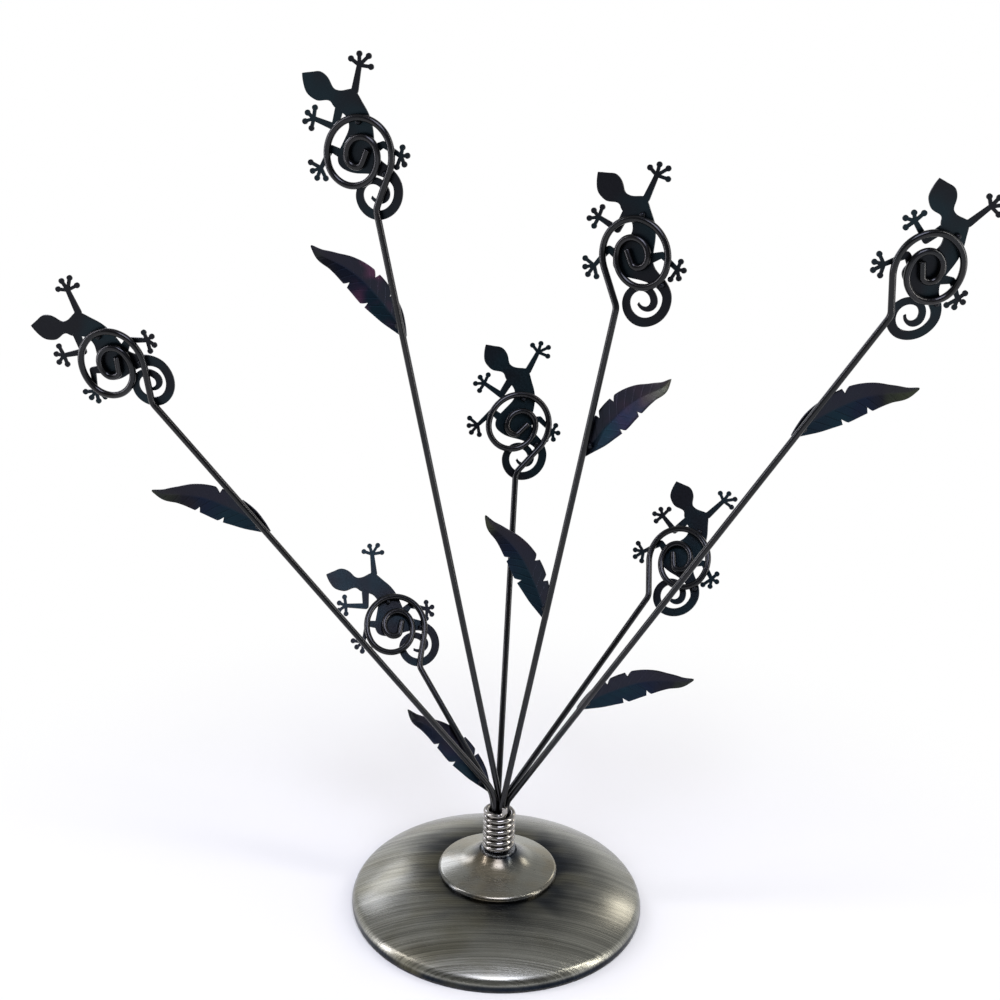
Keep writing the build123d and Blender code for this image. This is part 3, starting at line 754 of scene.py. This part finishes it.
def braze_beads_tree():
    """A ball on each point, with ripples of its own."""
    tree = bpy.data.node_groups.new("braze_beads", "GeometryNodeTree")
    given = given_inputs(tree, {"Radius": "Float", "Ripple": "Float", "Finish": "Material"})
    sizes = {"Radius": given["Radius"], "Subdivisions": 4}
    ball = add_node(tree, "GeometryNodeMeshIcoSphere", sizes)
    laid = {"Points": given["Geometry"], "Instance": ball}
    balls = add_node(tree, "GeometryNodeInstanceOnPoints", laid)
    real = add_node(tree, "GeometryNodeRealizeInstances", [balls])
    # Ripples about 1 mm long, in and out of the ball
    wave = add_node(tree, "ShaderNodeTexNoise", {"Scale": 900.0, "Detail": 2.0})
    swing = add_node(tree, "ShaderNodeMath", [wave, 0.55], operation="SUBTRACT")
    lift = add_node(tree, "ShaderNodeMath", [swing, given["Ripple"]], operation="MULTIPLY")
    outward = add_node(tree, "GeometryNodeInputNormal")
    push = add_node(tree, "ShaderNodeVectorMath", [outward, lift], operation="SCALE")
    rippled = add_node(tree, "GeometryNodeSetPosition", {"Geometry": real, "Offset": push})
    end_tree(tree, rippled, given["Finish"])
    return tree


def shared_tree(name, make):
    """The node tree of that name, made the first time it is asked for."""
    return bpy.data.node_groups.get(name) or make()


def new_piece(name, points, edges=(), faces=()):
    """An object in the scene with a mesh of these points."""
    mesh = bpy.data.meshes.new(name)
    mesh.from_pydata([tuple(point) for point in points], edges, faces)
    piece = bpy.data.objects.new(name, mesh)
    bpy.context.scene.collection.objects.link(piece)
    return piece


def chain(count, closed=False):
    """Edges that join points in a row."""
    edges = [(place, place + 1) for place in range(count - 1)]
    return edges + [(count - 1, 0)] if closed else edges


def keep_modifiers(piece):
    """Keep what the modifiers make as a plain mesh, and drop them."""
    graph = bpy.context.evaluated_depsgraph_get()
    evaluated = piece.evaluated_get(graph)
    mesh = bpy.data.meshes.new_from_object(
        evaluated, preserve_all_data_layers=True, depsgraph=graph
    )
    bare = piece.data
    piece.modifiers.clear()
    piece.data = mesh
    bpy.data.meshes.remove(bare)


def run_tree(piece, tree, values):
    """Run a node tree on a piece, with its inputs given by name, and keep the result."""
    modifier = piece.modifiers.new(tree.name, "NODES")
    modifier.node_group = tree
    for item in tree.interface.items_tree:
        if item.in_out == "INPUT" and item.name in values:
            modifier[item.identifier] = values[item.name]
    keep_modifiers(piece)


def point_outwards(piece):
    """Merge double points and turn every face outwards."""
    shape = bmesh.new()
    shape.from_mesh(piece.data)
    bmesh.ops.remove_doubles(shape, verts=shape.verts, dist=SAME_POINT)
    bmesh.ops.recalc_face_normals(shape, faces=shape.faces)
    shape.to_mesh(piece.data)
    shape.free()


def shade(piece, angle):
    """Shade a piece smooth, but keep the edges that turn by more than an angle in degrees."""
    piece.data.shade_smooth()
    piece.data.set_sharp_from_angle(angle=math.radians(angle))


def body_of_node(node):
    """The body that a node of the frame belongs to."""
    for body, nodes in frame["record"]["behaviour"]["bodies"].items():
        if node in nodes:
            return body
    raise ValueError(f"no body holds {node}")


def take_place(piece, node):
    """Let a piece ride on its node's body and stand for the node."""
    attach(piece, body_of_node(node))
    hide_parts(node)


def arc_points(start, heading, end, steps):
    """Points of the arc that leaves start along a heading and meets end, without start itself."""
    chord = end - start
    inward = (chord - heading * chord.dot(heading)).normalized()
    radius = chord.length_squared / (2 * chord.dot(inward))
    turn = math.atan2(chord.dot(heading), radius - chord.dot(inward)) % math.tau
    centre = start + inward * radius
    angles = [turn * step / steps for step in range(1, steps + 1)]
    return [
        centre - inward * (radius * math.cos(angle)) + heading * (radius * math.sin(angle))
        for angle in angles
    ]


class Trail:
    """A point with a heading that gathers the points of straight runs and tangent arcs."""

    def __init__(self, point, heading):
        self.points = [point]
        self.heading = heading.normalized()

    def run(self, length, spacing=2 * MM):
        """Go straight on, with a point at each spacing."""
        start = self.points[-1]
        steps = max(1, round(length / spacing))
        for step in range(1, steps + 1):
            self.points.append(start + self.heading * (length * step / steps))

    def bend(self, radius, angle, direction, arc_step=math.radians(3)):
        """Turn by an angle about a direction, on an arc of a radius."""
        start = self.points[-1]
        inward = direction.cross(self.heading) * math.copysign(radius, angle)
        steps = max(2, math.ceil(abs(angle) / arc_step))
        for step in range(1, steps + 1):
            turned = Matrix.Rotation(angle * step / steps, 3, direction) @ inward
            self.points.append(start + inward - turned)
        self.heading = Matrix.Rotation(angle, 3, direction) @ self.heading


def with_end_points(points, length):
    """Points of a path, with a few more where its rounded ends need them."""
    extra = [share * length for share in (0.1, 0.3, 0.6, 1.0)]
    first = (points[1] - points[0]).normalized()
    last = (points[-2] - points[-1]).normalized()
    head = [points[0] + first * place for place in extra]
    tail = [points[-1] + last * place for place in reversed(extra)]
    return [points[0], *head, *points[1:-1], *tail, points[-1]]


class Arm:
    """The places and directions of one stem: up along it, side to its right, towards its front."""

    def __init__(self, number, settings):
        azimuth, lean, facing, reach, bend, tilt, self.hand = ARMS[number]
        joint = next(joint for joint in frame["joints"] if joint["name"] == f"swivel_{number}")
        self.reach = reach * MM
        self.bend = bend * MM
        self.lean = math.radians(lean)
        self.tilt = math.radians(tilt)
        out, front = [
            Vector((math.cos(math.radians(angle)), math.sin(math.radians(angle)), 0))
            for angle in (azimuth, facing)
        ]
        self.foot = Vector((joint["pos_m"][0], joint["pos_m"][1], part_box(f"stem_{number}")[0].z))
        self.corner = Vector((*self.foot.xy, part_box("post_bolt")[1].z + settings.bend_rise))
        self.bend_axis = UP.cross(out)
        self.up = out * math.sin(self.lean) + UP * math.cos(self.lean)
        self.towards = (front - self.up * front.dot(self.up)).normalized()
        self.side = self.up.cross(self.towards)
        rise = UP * (self.bend * math.sin(self.lean))
        self.start = self.corner + rise + out * (self.bend * (1 - math.cos(self.lean)))

    def path(self, settings):
        """The wire's centre line from the shank's foot to the tail of its spiral."""
        width = settings.clip_width
        kink = self.tilt + self.hand * settings.kink_turn
        kink_run = settings.kink_radius * math.tan(abs(kink) / 2)
        trail = Trail(self.foot, UP)
        trail.run(self.corner.z - self.foot.z)
        trail.bend(self.bend, self.lean, self.bend_axis)
        trail.run(self.reach - kink_run)
        trail.bend(settings.kink_radius, kink, self.towards)
        trail.run(width * ENTRY_RUN_SHARE - kink_run)
        trail.bend(width * ENTRY_BEND_SHARE, -self.hand * settings.kink_turn, self.towards)
        for share in QUARTER_SHARES:
            trail.bend(width * share, -self.hand * math.pi / 2, self.towards)
        trail.bend(width * EYE_BEND_SHARE, -self.hand * settings.eye_turn, self.towards)
        trail.run(width * TAIL_SHARE)
        return with_end_points(trail.points, settings.end_round)


def shell_outline(edge, foot, crown, band, radius, turn, flank, crown_edge, hole, inset):
    """A shell's section from its rim's foot up to its bolt hole, drawn inwards by an inset: x is
    the distance from the axis and y the height."""
    slope = Vector((math.cos(turn), math.sin(turn), 0))
    shoulder = Vector((edge - radius, foot + band, 0)) + slope * (radius - inset)
    uphill = Vector((-slope.y, slope.x, 0))
    flare_foot = shoulder + uphill * flank
    crown_corner = Vector((crown_edge - (inset / 2 if flank else 0), crown - inset, 0))
    points = [Vector((edge - inset, foot, 0)), Vector((edge - inset, foot + band, 0))]
    points += arc_points(points[-1], Vector((0, 1, 0)), shoulder, SHOULDER_STEPS)
    points += [flare_foot] if flank else []
    points += arc_points(flare_foot, uphill, crown_corner, CROWN_STEPS)
    return points + [Vector((hole, crown - inset, 0))]


def map_brush(piece):
    """Give a piece a map whose first axis runs along X, the way the plate was brushed."""
    layer = piece.data.uv_layers.new(name=BRUSH_MAP)
    for loop in piece.data.loops:
        place = piece.data.vertices[loop.vertex_index].co
        depth = place.y + BRUSH_DRAPE * place.z
        layer.data[loop.index].uv = (place.x / BRUSH_MAP_SIZE, depth / BRUSH_MAP_SIZE)


def build_shell(name, node, finish, sizes, sheet, settings):
    """Turn one shell and let it stand for its node."""
    low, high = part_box(node)
    outer, inner = [
        shell_outline(high.x, low.z, high.z, *sizes, settings.hole_radius, inset)
        for inset in (0, sheet)
    ]
    section = outer + inner[::-1]
    points = [(point.x - settings.hole_radius, -point.y, 0) for point in section]
    piece = new_piece(name, points, chain(len(points), closed=True))
    tree = shared_tree("turned_shell", turned_shell_tree)
    values = {"Segments": settings.segments, "Hole Radius": settings.hole_radius, "Finish": finish}
    run_tree(piece, tree, values)
    point_outwards(piece)
    shade(piece, SHEET_CREASE)
    map_brush(piece)
    take_place(piece, node)


class PHOTO_TREE_OT_foot(Operator):
    """Turn the two plated shells, and finish the pad, the weight and the fixings"""

    bl_idname = "photo_tree.foot"
    bl_label = "Build Foot"

    def execute(self, context):
        settings = context.scene.photo_tree_foot
        colours = context.scene.photo_tree_finish
        build_shell(
            "foot_shell",
            "base_dome",
            brushed_plate(colours),
            [
                settings.rim_band,
                settings.shoulder_radius,
                settings.shoulder_turn,
                NO_FLANK,
                settings.crown_radius,
            ],
            settings.sheet,
            settings,
        )
        build_shell(
            "centre_shell",
            "centre_dome",
            buffed_plate(colours),
            [
                settings.cap_band,
                settings.cap_shoulder_radius,
                settings.cap_shoulder_turn,
                settings.cap_flank,
                settings.neck_radius,
            ],
            settings.cap_sheet,
            settings,
        )
        # Zinc plate: bright, with a fine spangle. Cast iron: dull, with the pits of its sand mould
        zinc = plain_metal("zinc_plated_steel", "b4b8bf", 0.25, 1.2, 0.004)
        iron = plain_metal("sand_cast_iron", "4a4b4e", 0.6, 0.8, 0.1)
        finishes = {
            "felt_pad": pressed_felt(),
            "base_weight": iron,
            "post_bolt": zinc,
            "washer": zinc,
            "nut": zinc,
        }
        for node, finish in finishes.items():
            frame["nodes"][node].data.materials.clear()
            frame["nodes"][node].data.materials.append(finish)
        return {"FINISHED"}


def collar_path(settings):
    """The collar's centre line: a helix with a straight end below and one that stands up above."""
    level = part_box("post_bolt")[1].z + settings.collar_seat
    steps_round = 72
    points = []
    for step in range(round(settings.collar_turns * steps_round) + 1):
        turn = step / steps_round
        angle = math.pi + math.tau * turn
        out = Vector((math.cos(angle), math.sin(angle), 0))
        rise = UP * (level + settings.collar_pitch * turn)
        points.append(out * settings.collar_radius + rise)
    slope = settings.collar_pitch / (math.tau * settings.collar_radius)
    first = Vector((0, -1, slope)).normalized()
    points.insert(0, points[0] - first * settings.collar_end)
    out = Vector((*points[-1].xy, 0)).normalized()
    heading = (UP.cross(out) + UP * slope).normalized()
    trail = Trail(points[-1], heading)
    trail.bend(settings.collar_tip_radius, heading.angle(UP), heading.cross(UP).normalized())
    trail.run(settings.collar_end, settings.collar_end / 4)
    return with_end_points(points + trail.points[1:], settings.end_round)


def build_wire(name, points, sizes, settings, node):
    """Lay a round wire along points and let it stand for its node."""
    piece = new_piece(name, points, chain(len(points)))
    values = {"End Round": settings.end_round, **sizes}
    run_tree(piece, shared_tree("round_wire", round_wire_tree), values)
    point_outwards(piece)
    shade(piece, ROUND_CREASE)
    take_place(piece, node)


class PHOTO_TREE_OT_collar(Operator):
    """Wind the bright collar round the stems"""

    bl_idname = "photo_tree.collar"
    bl_label = "Wind Collar"

    def execute(self, context):
        settings = context.scene.photo_tree_wire
        # The bright collar shows its facets sooner than the dark stems do
        sizes = {
            "Diameter": settings.collar_wire,
            "Sides": settings.sides + 4,
            "Finish": nickel_wire(context.scene.photo_tree_finish),
        }
        points = collar_path(settings)
        build_wire("wound_collar", points, sizes, settings, "wire_collar")
        return {"FINISHED"}


class PHOTO_TREE_OT_stems(Operator):
    """Bend the seven stems with their spiral clips"""

    bl_idname = "photo_tree.stems"
    bl_label = "Bend Stems"

    def execute(self, context):
        settings = context.scene.photo_tree_wire
        sizes = {
            "Diameter": settings.diameter,
            "Sides": settings.sides,
            "Finish": blackened_wire(context.scene.photo_tree_finish),
        }
        for number in ARMS:
            points = Arm(number, settings).path(settings)
            name, node = f"stem_wire_{number}", f"stem_{number}"
            build_wire(name, points, sizes, settings, node)
        return {"FINISHED"}


def join_flat_faces(piece):
    """Merge double points and make one face of those that lie in one plane."""
    shape = bmesh.new()
    shape.from_mesh(piece.data)
    bmesh.ops.remove_doubles(shape, verts=shape.verts, dist=2 * SAME_POINT)
    level = math.radians(1)
    bmesh.ops.dissolve_limit(shape, angle_limit=level, verts=shape.verts, edges=shape.edges)
    shape.to_mesh(piece.data)
    shape.free()


class PHOTO_TREE_OT_geckos(Operator):
    """Round the edges of the seven stamped geckos"""

    bl_idname = "photo_tree.geckos"
    bl_label = "Finish Geckos"

    def execute(self, context):
        settings = context.scene.photo_tree_plate
        finish = gecko_lacquer(context.scene.photo_tree_finish)
        for number in ARMS:
            node = frame["nodes"][f"gecko_{number}"].data
            points = [vertex.co for vertex in node.vertices]
            faces = [tuple(face.vertices) for face in node.polygons]
            piece = new_piece(f"gecko_plate_{number}", points, faces=faces)
            join_flat_faces(piece)
            bevel = piece.modifiers.new("edge", "BEVEL")
            bevel.width = settings.gecko_edge
            bevel.segments = 2
            bevel.limit_method = "ANGLE"
            bevel.angle_limit = math.radians(60)
            keep_modifiers(piece)
            shade(piece, ROUND_CREASE)
            for face in sorted(piece.data.polygons, key=lambda face: face.area)[-2:]:
                face.use_smooth = False
            piece.data.materials.append(finish)
            take_place(piece, f"gecko_{number}")
        return {"FINISHED"}


def at_share(values, place):
    """A smooth value at a place along the leaf, from a table of values at its set places."""
    last = len(PLACE_SHARES) - 2
    passed = [number for number in range(last + 1) if PLACE_SHARES[number] <= place]
    index = max(passed, default=0)
    span = PLACE_SHARES[index + 1] - PLACE_SHARES[index]
    part = (place - PLACE_SHARES[index]) / span

    def slope(number):
        before, after = max(number - 1, 0), min(number + 1, last + 1)
        run = PLACE_SHARES[after] - PLACE_SHARES[before]
        return (values[after] - values[before]) / run * span

    start, end = values[index], values[index + 1]
    return (
        start * (2 * part**3 - 3 * part**2 + 1)
        + slope(index) * (part**3 - 2 * part**2 + part)
        + end * (3 * part**2 - 2 * part**3)
        + slope(index + 1) * (part**3 - part**2)
    )


def leaf_half_width(place, side):
    """Half the leaf's width on one side, less its notches: steep below and sloping out above."""
    width = at_share(WIDTH_SHARES, place)
    for notch in NOTCH_SHARES[side]:
        away = place - notch
        if -NOTCH_NEAR_SHARE < away <= 0:
            width -= NOTCH_DEPTH_SHARE * (1 + away / NOTCH_NEAR_SHARE)
        elif 0 < away < NOTCH_FAR_SHARE:
            width -= NOTCH_DEPTH_SHARE * (1 - away / NOTCH_FAR_SHARE) ** NOTCH_CURVE
    return width


def leaf_places():
    """Places along the leaf: even ones, and closer ones at the notches and the tip."""
    steps = 56
    places = {round(step / steps, 5) for step in range(steps + 1)} | {0.992, 0.997}
    for notches in NOTCH_SHARES.values():
        for notch in notches:
            near = [notch - NOTCH_NEAR_SHARE * step / 2 for step in range(3)]
            far = [notch + NOTCH_FAR_SHARE * step / 6 for step in range(1, 7)]
            places |= {round(place, 5) for place in near + far}
    return sorted(places)


def leaf_ring(place, settings, mirrored):
    """The points round the leaf's sheet at one place, with the values that they carry."""
    length = settings.leaf_length
    step = 0.01
    before, middle, after = [
        Vector((spot, at_share(BOW_SHARES, spot), at_share(CURL_SHARES, spot)))
        for spot in (max(place - step, 0), place, min(place + step, 1))
    ]
    heading = (after - before).normalized()
    across = UP.cross(heading).normalized()
    lift = heading.cross(across)
    round_off = settings.leaf_edge / length
    tip = math.sqrt(max(1 - place, 0) / TIP_SHARE) if place > 1 - TIP_SHARE else 1
    profile = []
    for side in (-1, 1):
        width = max(leaf_half_width(place, side) * tip, THINNEST_SHARE)
        edge = min(round_off, width / 3)
        turns = [math.radians(angle) for angle in EDGE_TURNS]
        flat = [(side * (width - edge) * share, 0.0) for share in FLAT_SHARES]
        arc = [
            (side * (width - edge + edge * math.sin(turn)), edge * (1 - math.cos(turn)))
            for turn in turns
        ]
        profile.append(flat + arc)
    sheet = settings.leaf_sheet / length
    upper = profile[0][::-1] + [(0.0, 0.0)] + profile[1]
    lower = [(spot, sheet - drop) for spot, drop in upper[::-1]]
    points = []
    for spot, drop in upper + lower:
        turn = settings.leaf_fold if spot < 0 else 0
        rise = -spot * math.sin(turn) - drop
        point = (middle + across * (spot * math.cos(turn)) + lift * rise) * length
        if mirrored:
            point.y = -point.y
        points.append(point)
    return points, [(place, spot) for spot, drop in upper + lower]


def leaf_mesh(name, settings, mirrored, plum):
    """A leaf lying along X with its foot at the origin, as a closed sheet."""
    rings = [leaf_ring(place, settings, mirrored) for place in leaf_places()]
    count = len(rings[0][0])
    points = [point for ring, carried in rings for point in ring]
    values = [(*value, plum) for ring, carried in rings for value in carried]
    faces = []
    for row in range(len(rings) - 1):
        for place in range(count):
            here, there = row * count + place, row * count + (place + 1) % count
            faces.append((here, there, there + count, here + count))
    half = count // 2
    for start in (0, (len(rings) - 1) * count):
        for place in range(half - 1):
            near, far = start + place, start + count - 1 - place
            faces.append((near, near + 1, far - 1, far))
    piece = new_piece(name, points, faces=faces)
    layer = piece.data.attributes.new(BLADE_PLACE, "FLOAT_VECTOR", "POINT")
    layer.data.foreach_set("vector", [number for value in values for number in value])
    return piece


class PHOTO_TREE_OT_leaves(Operator):
    """Press the seven leaves and set them behind their stems"""

    bl_idname = "photo_tree.leaves"
    bl_label = "Press Leaves"

    def execute(self, context):
        settings = context.scene.photo_tree_plate
        wires = context.scene.photo_tree_wire
        finish = leaf_tint(context.scene.photo_tree_finish)
        for name, (number, share, angle, tilt, plum) in LEAVES.items():
            arm = Arm(number, wires)
            foot = arm.start + arm.up * (share * arm.reach)
            origin = foot - arm.towards * (wires.diameter / 2 + settings.leaf_gap)
            along = Matrix.Rotation(math.radians(angle), 3, arm.towards) @ arm.up
            back = along.cross(arm.towards)
            tip_back = Matrix.Rotation(math.radians(-tilt), 3, back)
            along, front = tip_back @ along, tip_back @ arm.towards
            piece = leaf_mesh(f"leaf_blade_{name}", settings, angle > 0, plum)
            axes = Matrix((along, front.cross(along), front)).transposed()
            piece.data.transform(Matrix.Translation(origin) @ axes.to_4x4())
            point_outwards(piece)
            shade(piece, SHEET_CREASE)
            piece.data.materials.append(finish)
            take_place(piece, f"leaf_{name}")
        return {"FINISHED"}


def bead_centres(node):
    """The middle of each separate bead of a node, in a fixed order."""
    shape = bmesh.new()
    shape.from_mesh(frame["nodes"][node].data)
    bmesh.ops.remove_doubles(shape, verts=shape.verts, dist=SAME_POINT)
    left = set(shape.verts)
    centres = []
    while left:
        found, edge = set(), [left.pop()]
        while edge:
            vertex = edge.pop()
            found.add(vertex)
            near = {link.other_vert(vertex) for link in vertex.link_edges} & left
            left -= near
            edge += near
        spots = [vertex.co for vertex in found]
        low = Vector([min(spot[axis] for spot in spots) for axis in range(3)])
        high = Vector([max(spot[axis] for spot in spots) for axis in range(3)])
        centres.append((low + high) / 2)
    shape.free()
    return sorted(centres, key=tuple)


class PHOTO_TREE_OT_brazing(Operator):
    """Lay the braze beads that hold the geckos and the leaves"""

    bl_idname = "photo_tree.brazing"
    bl_label = "Lay Braze Beads"

    def execute(self, context):
        settings = context.scene.photo_tree_plate
        # Braze filler under the black finish: rounded, dull and a little lumpy
        finish = plain_metal("blackened_braze_filler", "2a2c31", 0.42, 0.5, 0.03)
        for number in ARMS:
            piece = new_piece(f"braze_beads_{number}", bead_centres(f"braze_{number}"))
            values = {
                "Radius": settings.bead_radius,
                "Ripple": settings.bead_ripple,
                "Finish": finish,
            }
            run_tree(piece, shared_tree("braze_beads", braze_beads_tree), values)
            point_outwards(piece)
            shade(piece, BEAD_CREASE)
            take_place(piece, f"braze_{number}")
        return {"FINISHED"}


def white_room():
    """A world that is white to the eye, lights dull surfaces less, and shows in gloss as a white
    backdrop under a dimmer ceiling, with a darker room in front of it."""
    dull_level, ceiling_level, room_level = 0.46, 0.42, 0.25
    world = bpy.data.worlds.new("white_room")
    world.use_nodes = True
    tree = world.node_tree
    tree.nodes.clear()
    rays = add_node(tree, "ShaderNodeLightPath").outputs
    direct = [rays["Is Camera Ray"], rays["Is Transmission Ray"]]
    seen = add_node(tree, "ShaderNodeMath", direct, operation="MAXIMUM")
    level = add_node(tree, "ShaderNodeMapRange", [seen, 0.0, 1.0, dull_level, 1.0], **SOFT)
    way = add_node(tree, "ShaderNodeTexCoord").outputs["Generated"]
    parts = add_node(tree, "ShaderNodeSeparateXYZ", [way]).outputs
    upwards = [parts["Z"], 0.1, 0.5, 1.0, ceiling_level]
    ceiling = add_node(tree, "ShaderNodeMapRange", upwards, **SOFT)
    forwards = [parts["Y"], -0.8, -0.1, room_level, 1.0]
    room = add_node(tree, "ShaderNodeMapRange", forwards, **SOFT)
    shown = add_node(tree, "ShaderNodeMath", [ceiling, room], operation="MULTIPLY")
    level = add_node(tree, "ShaderNodeMix", [rays["Is Glossy Ray"], level, shown], **COLOUR)
    light = add_node(tree, "ShaderNodeBackground", {"Color": level, "Strength": 1.0})
    add_node(tree, "ShaderNodeOutputWorld", {"Surface": light})
    return world


def table_top():
    """A pale matt floor that keeps the stand's shadow and turns plain white further out."""
    near, far = 0.09, 0.3
    material, tree = new_material("matt_white_table")
    shader = tree.nodes["Principled BSDF"]
    paint = {"Base Color": hex_colour("f4f4f4"), "Roughness": 0.9, "Specular IOR Level": 0.0}
    set_inputs(tree, shader, paint)
    rays = add_node(tree, "ShaderNodeLightPath").outputs
    direct = [rays["Is Camera Ray"], rays["Is Glossy Ray"]]
    seen = add_node(tree, "ShaderNodeMath", direct, operation="MAXIMUM")
    place = add_node(tree, "ShaderNodeTexCoord").outputs["Object"]
    radius = distance_from_axis(tree, place)
    out = add_node(tree, "ShaderNodeMapRange", [radius, near, far], **SOFT)
    share = add_node(tree, "ShaderNodeMath", [seen, out], operation="MULTIPLY")
    white = add_node(tree, "ShaderNodeEmission", {"Color": (1.0, 1.0, 1.0), "Strength": 1.0})
    mixed = add_node(tree, "ShaderNodeMixShader", [share, shader, white])
    set_inputs(tree, tree.nodes["Material Output"], {"Surface": mixed})
    return material


def add_lamp(name, place, target, size, power, colour):
    """A square or oblong soft lamp at a place that looks at a target."""
    lamp = bpy.data.lights.new(name, "AREA")
    lamp.shape = "RECTANGLE"
    lamp.size, lamp.size_y = size
    lamp.energy = power
    lamp.color = hex_colour(colour)
    holder = bpy.data.objects.new(name, lamp)
    holder.location = place
    holder.rotation_euler = (Vector(target) - Vector(place)).to_track_quat("-Z", "Y").to_euler()
    bpy.context.scene.collection.objects.link(holder)


class PHOTO_TREE_OT_stage(Operator):
    """Set the table, the camera and the studio lamps"""

    bl_idname = "photo_tree.stage"
    bl_label = "Set Stage"

    def execute(self, context):
        settings = context.scene.photo_tree_stage
        half = 3.0
        corners = [(-half, -half, 0), (half, -half, 0), (half, half, 0), (-half, half, 0)]
        table = new_piece("table_top", corners, faces=[(0, 1, 2, 3)])
        table.data.materials.append(table_top())
        context.scene.world = white_room()
        for name, (place, target, size, level, share, tone) in LAMPS.items():
            add_lamp(name, place, target, size, getattr(settings, level) * share, tone)
        view = bpy.data.cameras.new("front_view")
        view.lens = settings.lens
        view.sensor_width = FILM_WIDTH
        flat = math.cos(settings.pitch)
        ahead = Vector((math.sin(settings.yaw) * flat, math.cos(settings.yaw) * flat, 0))
        ahead.z = -math.sin(settings.pitch)
        right = ahead.cross(UP).normalized()
        above = right.cross(ahead)
        leant_right = right * math.cos(settings.roll) + above * math.sin(settings.roll)
        leant_above = above * math.cos(settings.roll) - right * math.sin(settings.roll)
        axes = Matrix((leant_right, leant_above, -ahead)).transposed().to_4x4()
        camera = bpy.data.objects.new("front_view", view)
        camera.matrix_world = Matrix.Translation((0, -settings.distance, settings.height)) @ axes
        context.scene.collection.objects.link(camera)
        context.scene.camera = camera
        context.scene.view_settings.view_transform = "Standard"
        return {"FINISHED"}


class PHOTO_TREE_PT_panel(Panel):
    """The stand's pieces, in the order in which they are made"""

    bl_idname = "PHOTO_TREE_PT_panel"
    bl_label = "Photo Tree Stand"
    bl_space_type = "VIEW_3D"
    bl_region_type = "UI"
    bl_category = "Photo Tree"

    def draw(self, context):
        for operator in OPERATORS:
            self.layout.operator(operator.bl_idname)


OPERATORS = [
    PHOTO_TREE_OT_foot,
    PHOTO_TREE_OT_collar,
    PHOTO_TREE_OT_stems,
    PHOTO_TREE_OT_geckos,
    PHOTO_TREE_OT_leaves,
    PHOTO_TREE_OT_brazing,
    PHOTO_TREE_OT_stage,
]
SETTINGS = {
    "photo_tree_foot": FootSettings,
    "photo_tree_wire": WireSettings,
    "photo_tree_plate": PlateSettings,
    "photo_tree_finish": FinishSettings,
    "photo_tree_stage": StageSettings,
}


def register():
    """Register the settings, the operators and the panel."""
    for name, group in SETTINGS.items():
        bpy.utils.register_class(group)
        setattr(bpy.types.Scene, name, PointerProperty(type=group))
    for operator in OPERATORS:
        bpy.utils.register_class(operator)
    bpy.utils.register_class(PHOTO_TREE_PT_panel)


def unregister():
    """Take the panel, the operators and the settings out again."""
    bpy.utils.unregister_class(PHOTO_TREE_PT_panel)
    for operator in OPERATORS:
        bpy.utils.unregister_class(operator)
    for name, group in SETTINGS.items():
        delattr(bpy.types.Scene, name)
        bpy.utils.unregister_class(group)


def main():
    """Build every piece and the stage."""
    register()
    bpy.ops.photo_tree.foot()
    bpy.ops.photo_tree.collar()
    bpy.ops.photo_tree.stems()
    bpy.ops.photo_tree.geckos()
    bpy.ops.photo_tree.leaves()
    bpy.ops.photo_tree.brazing()
    bpy.ops.photo_tree.stage()


if __name__ == "__main__":
    main()
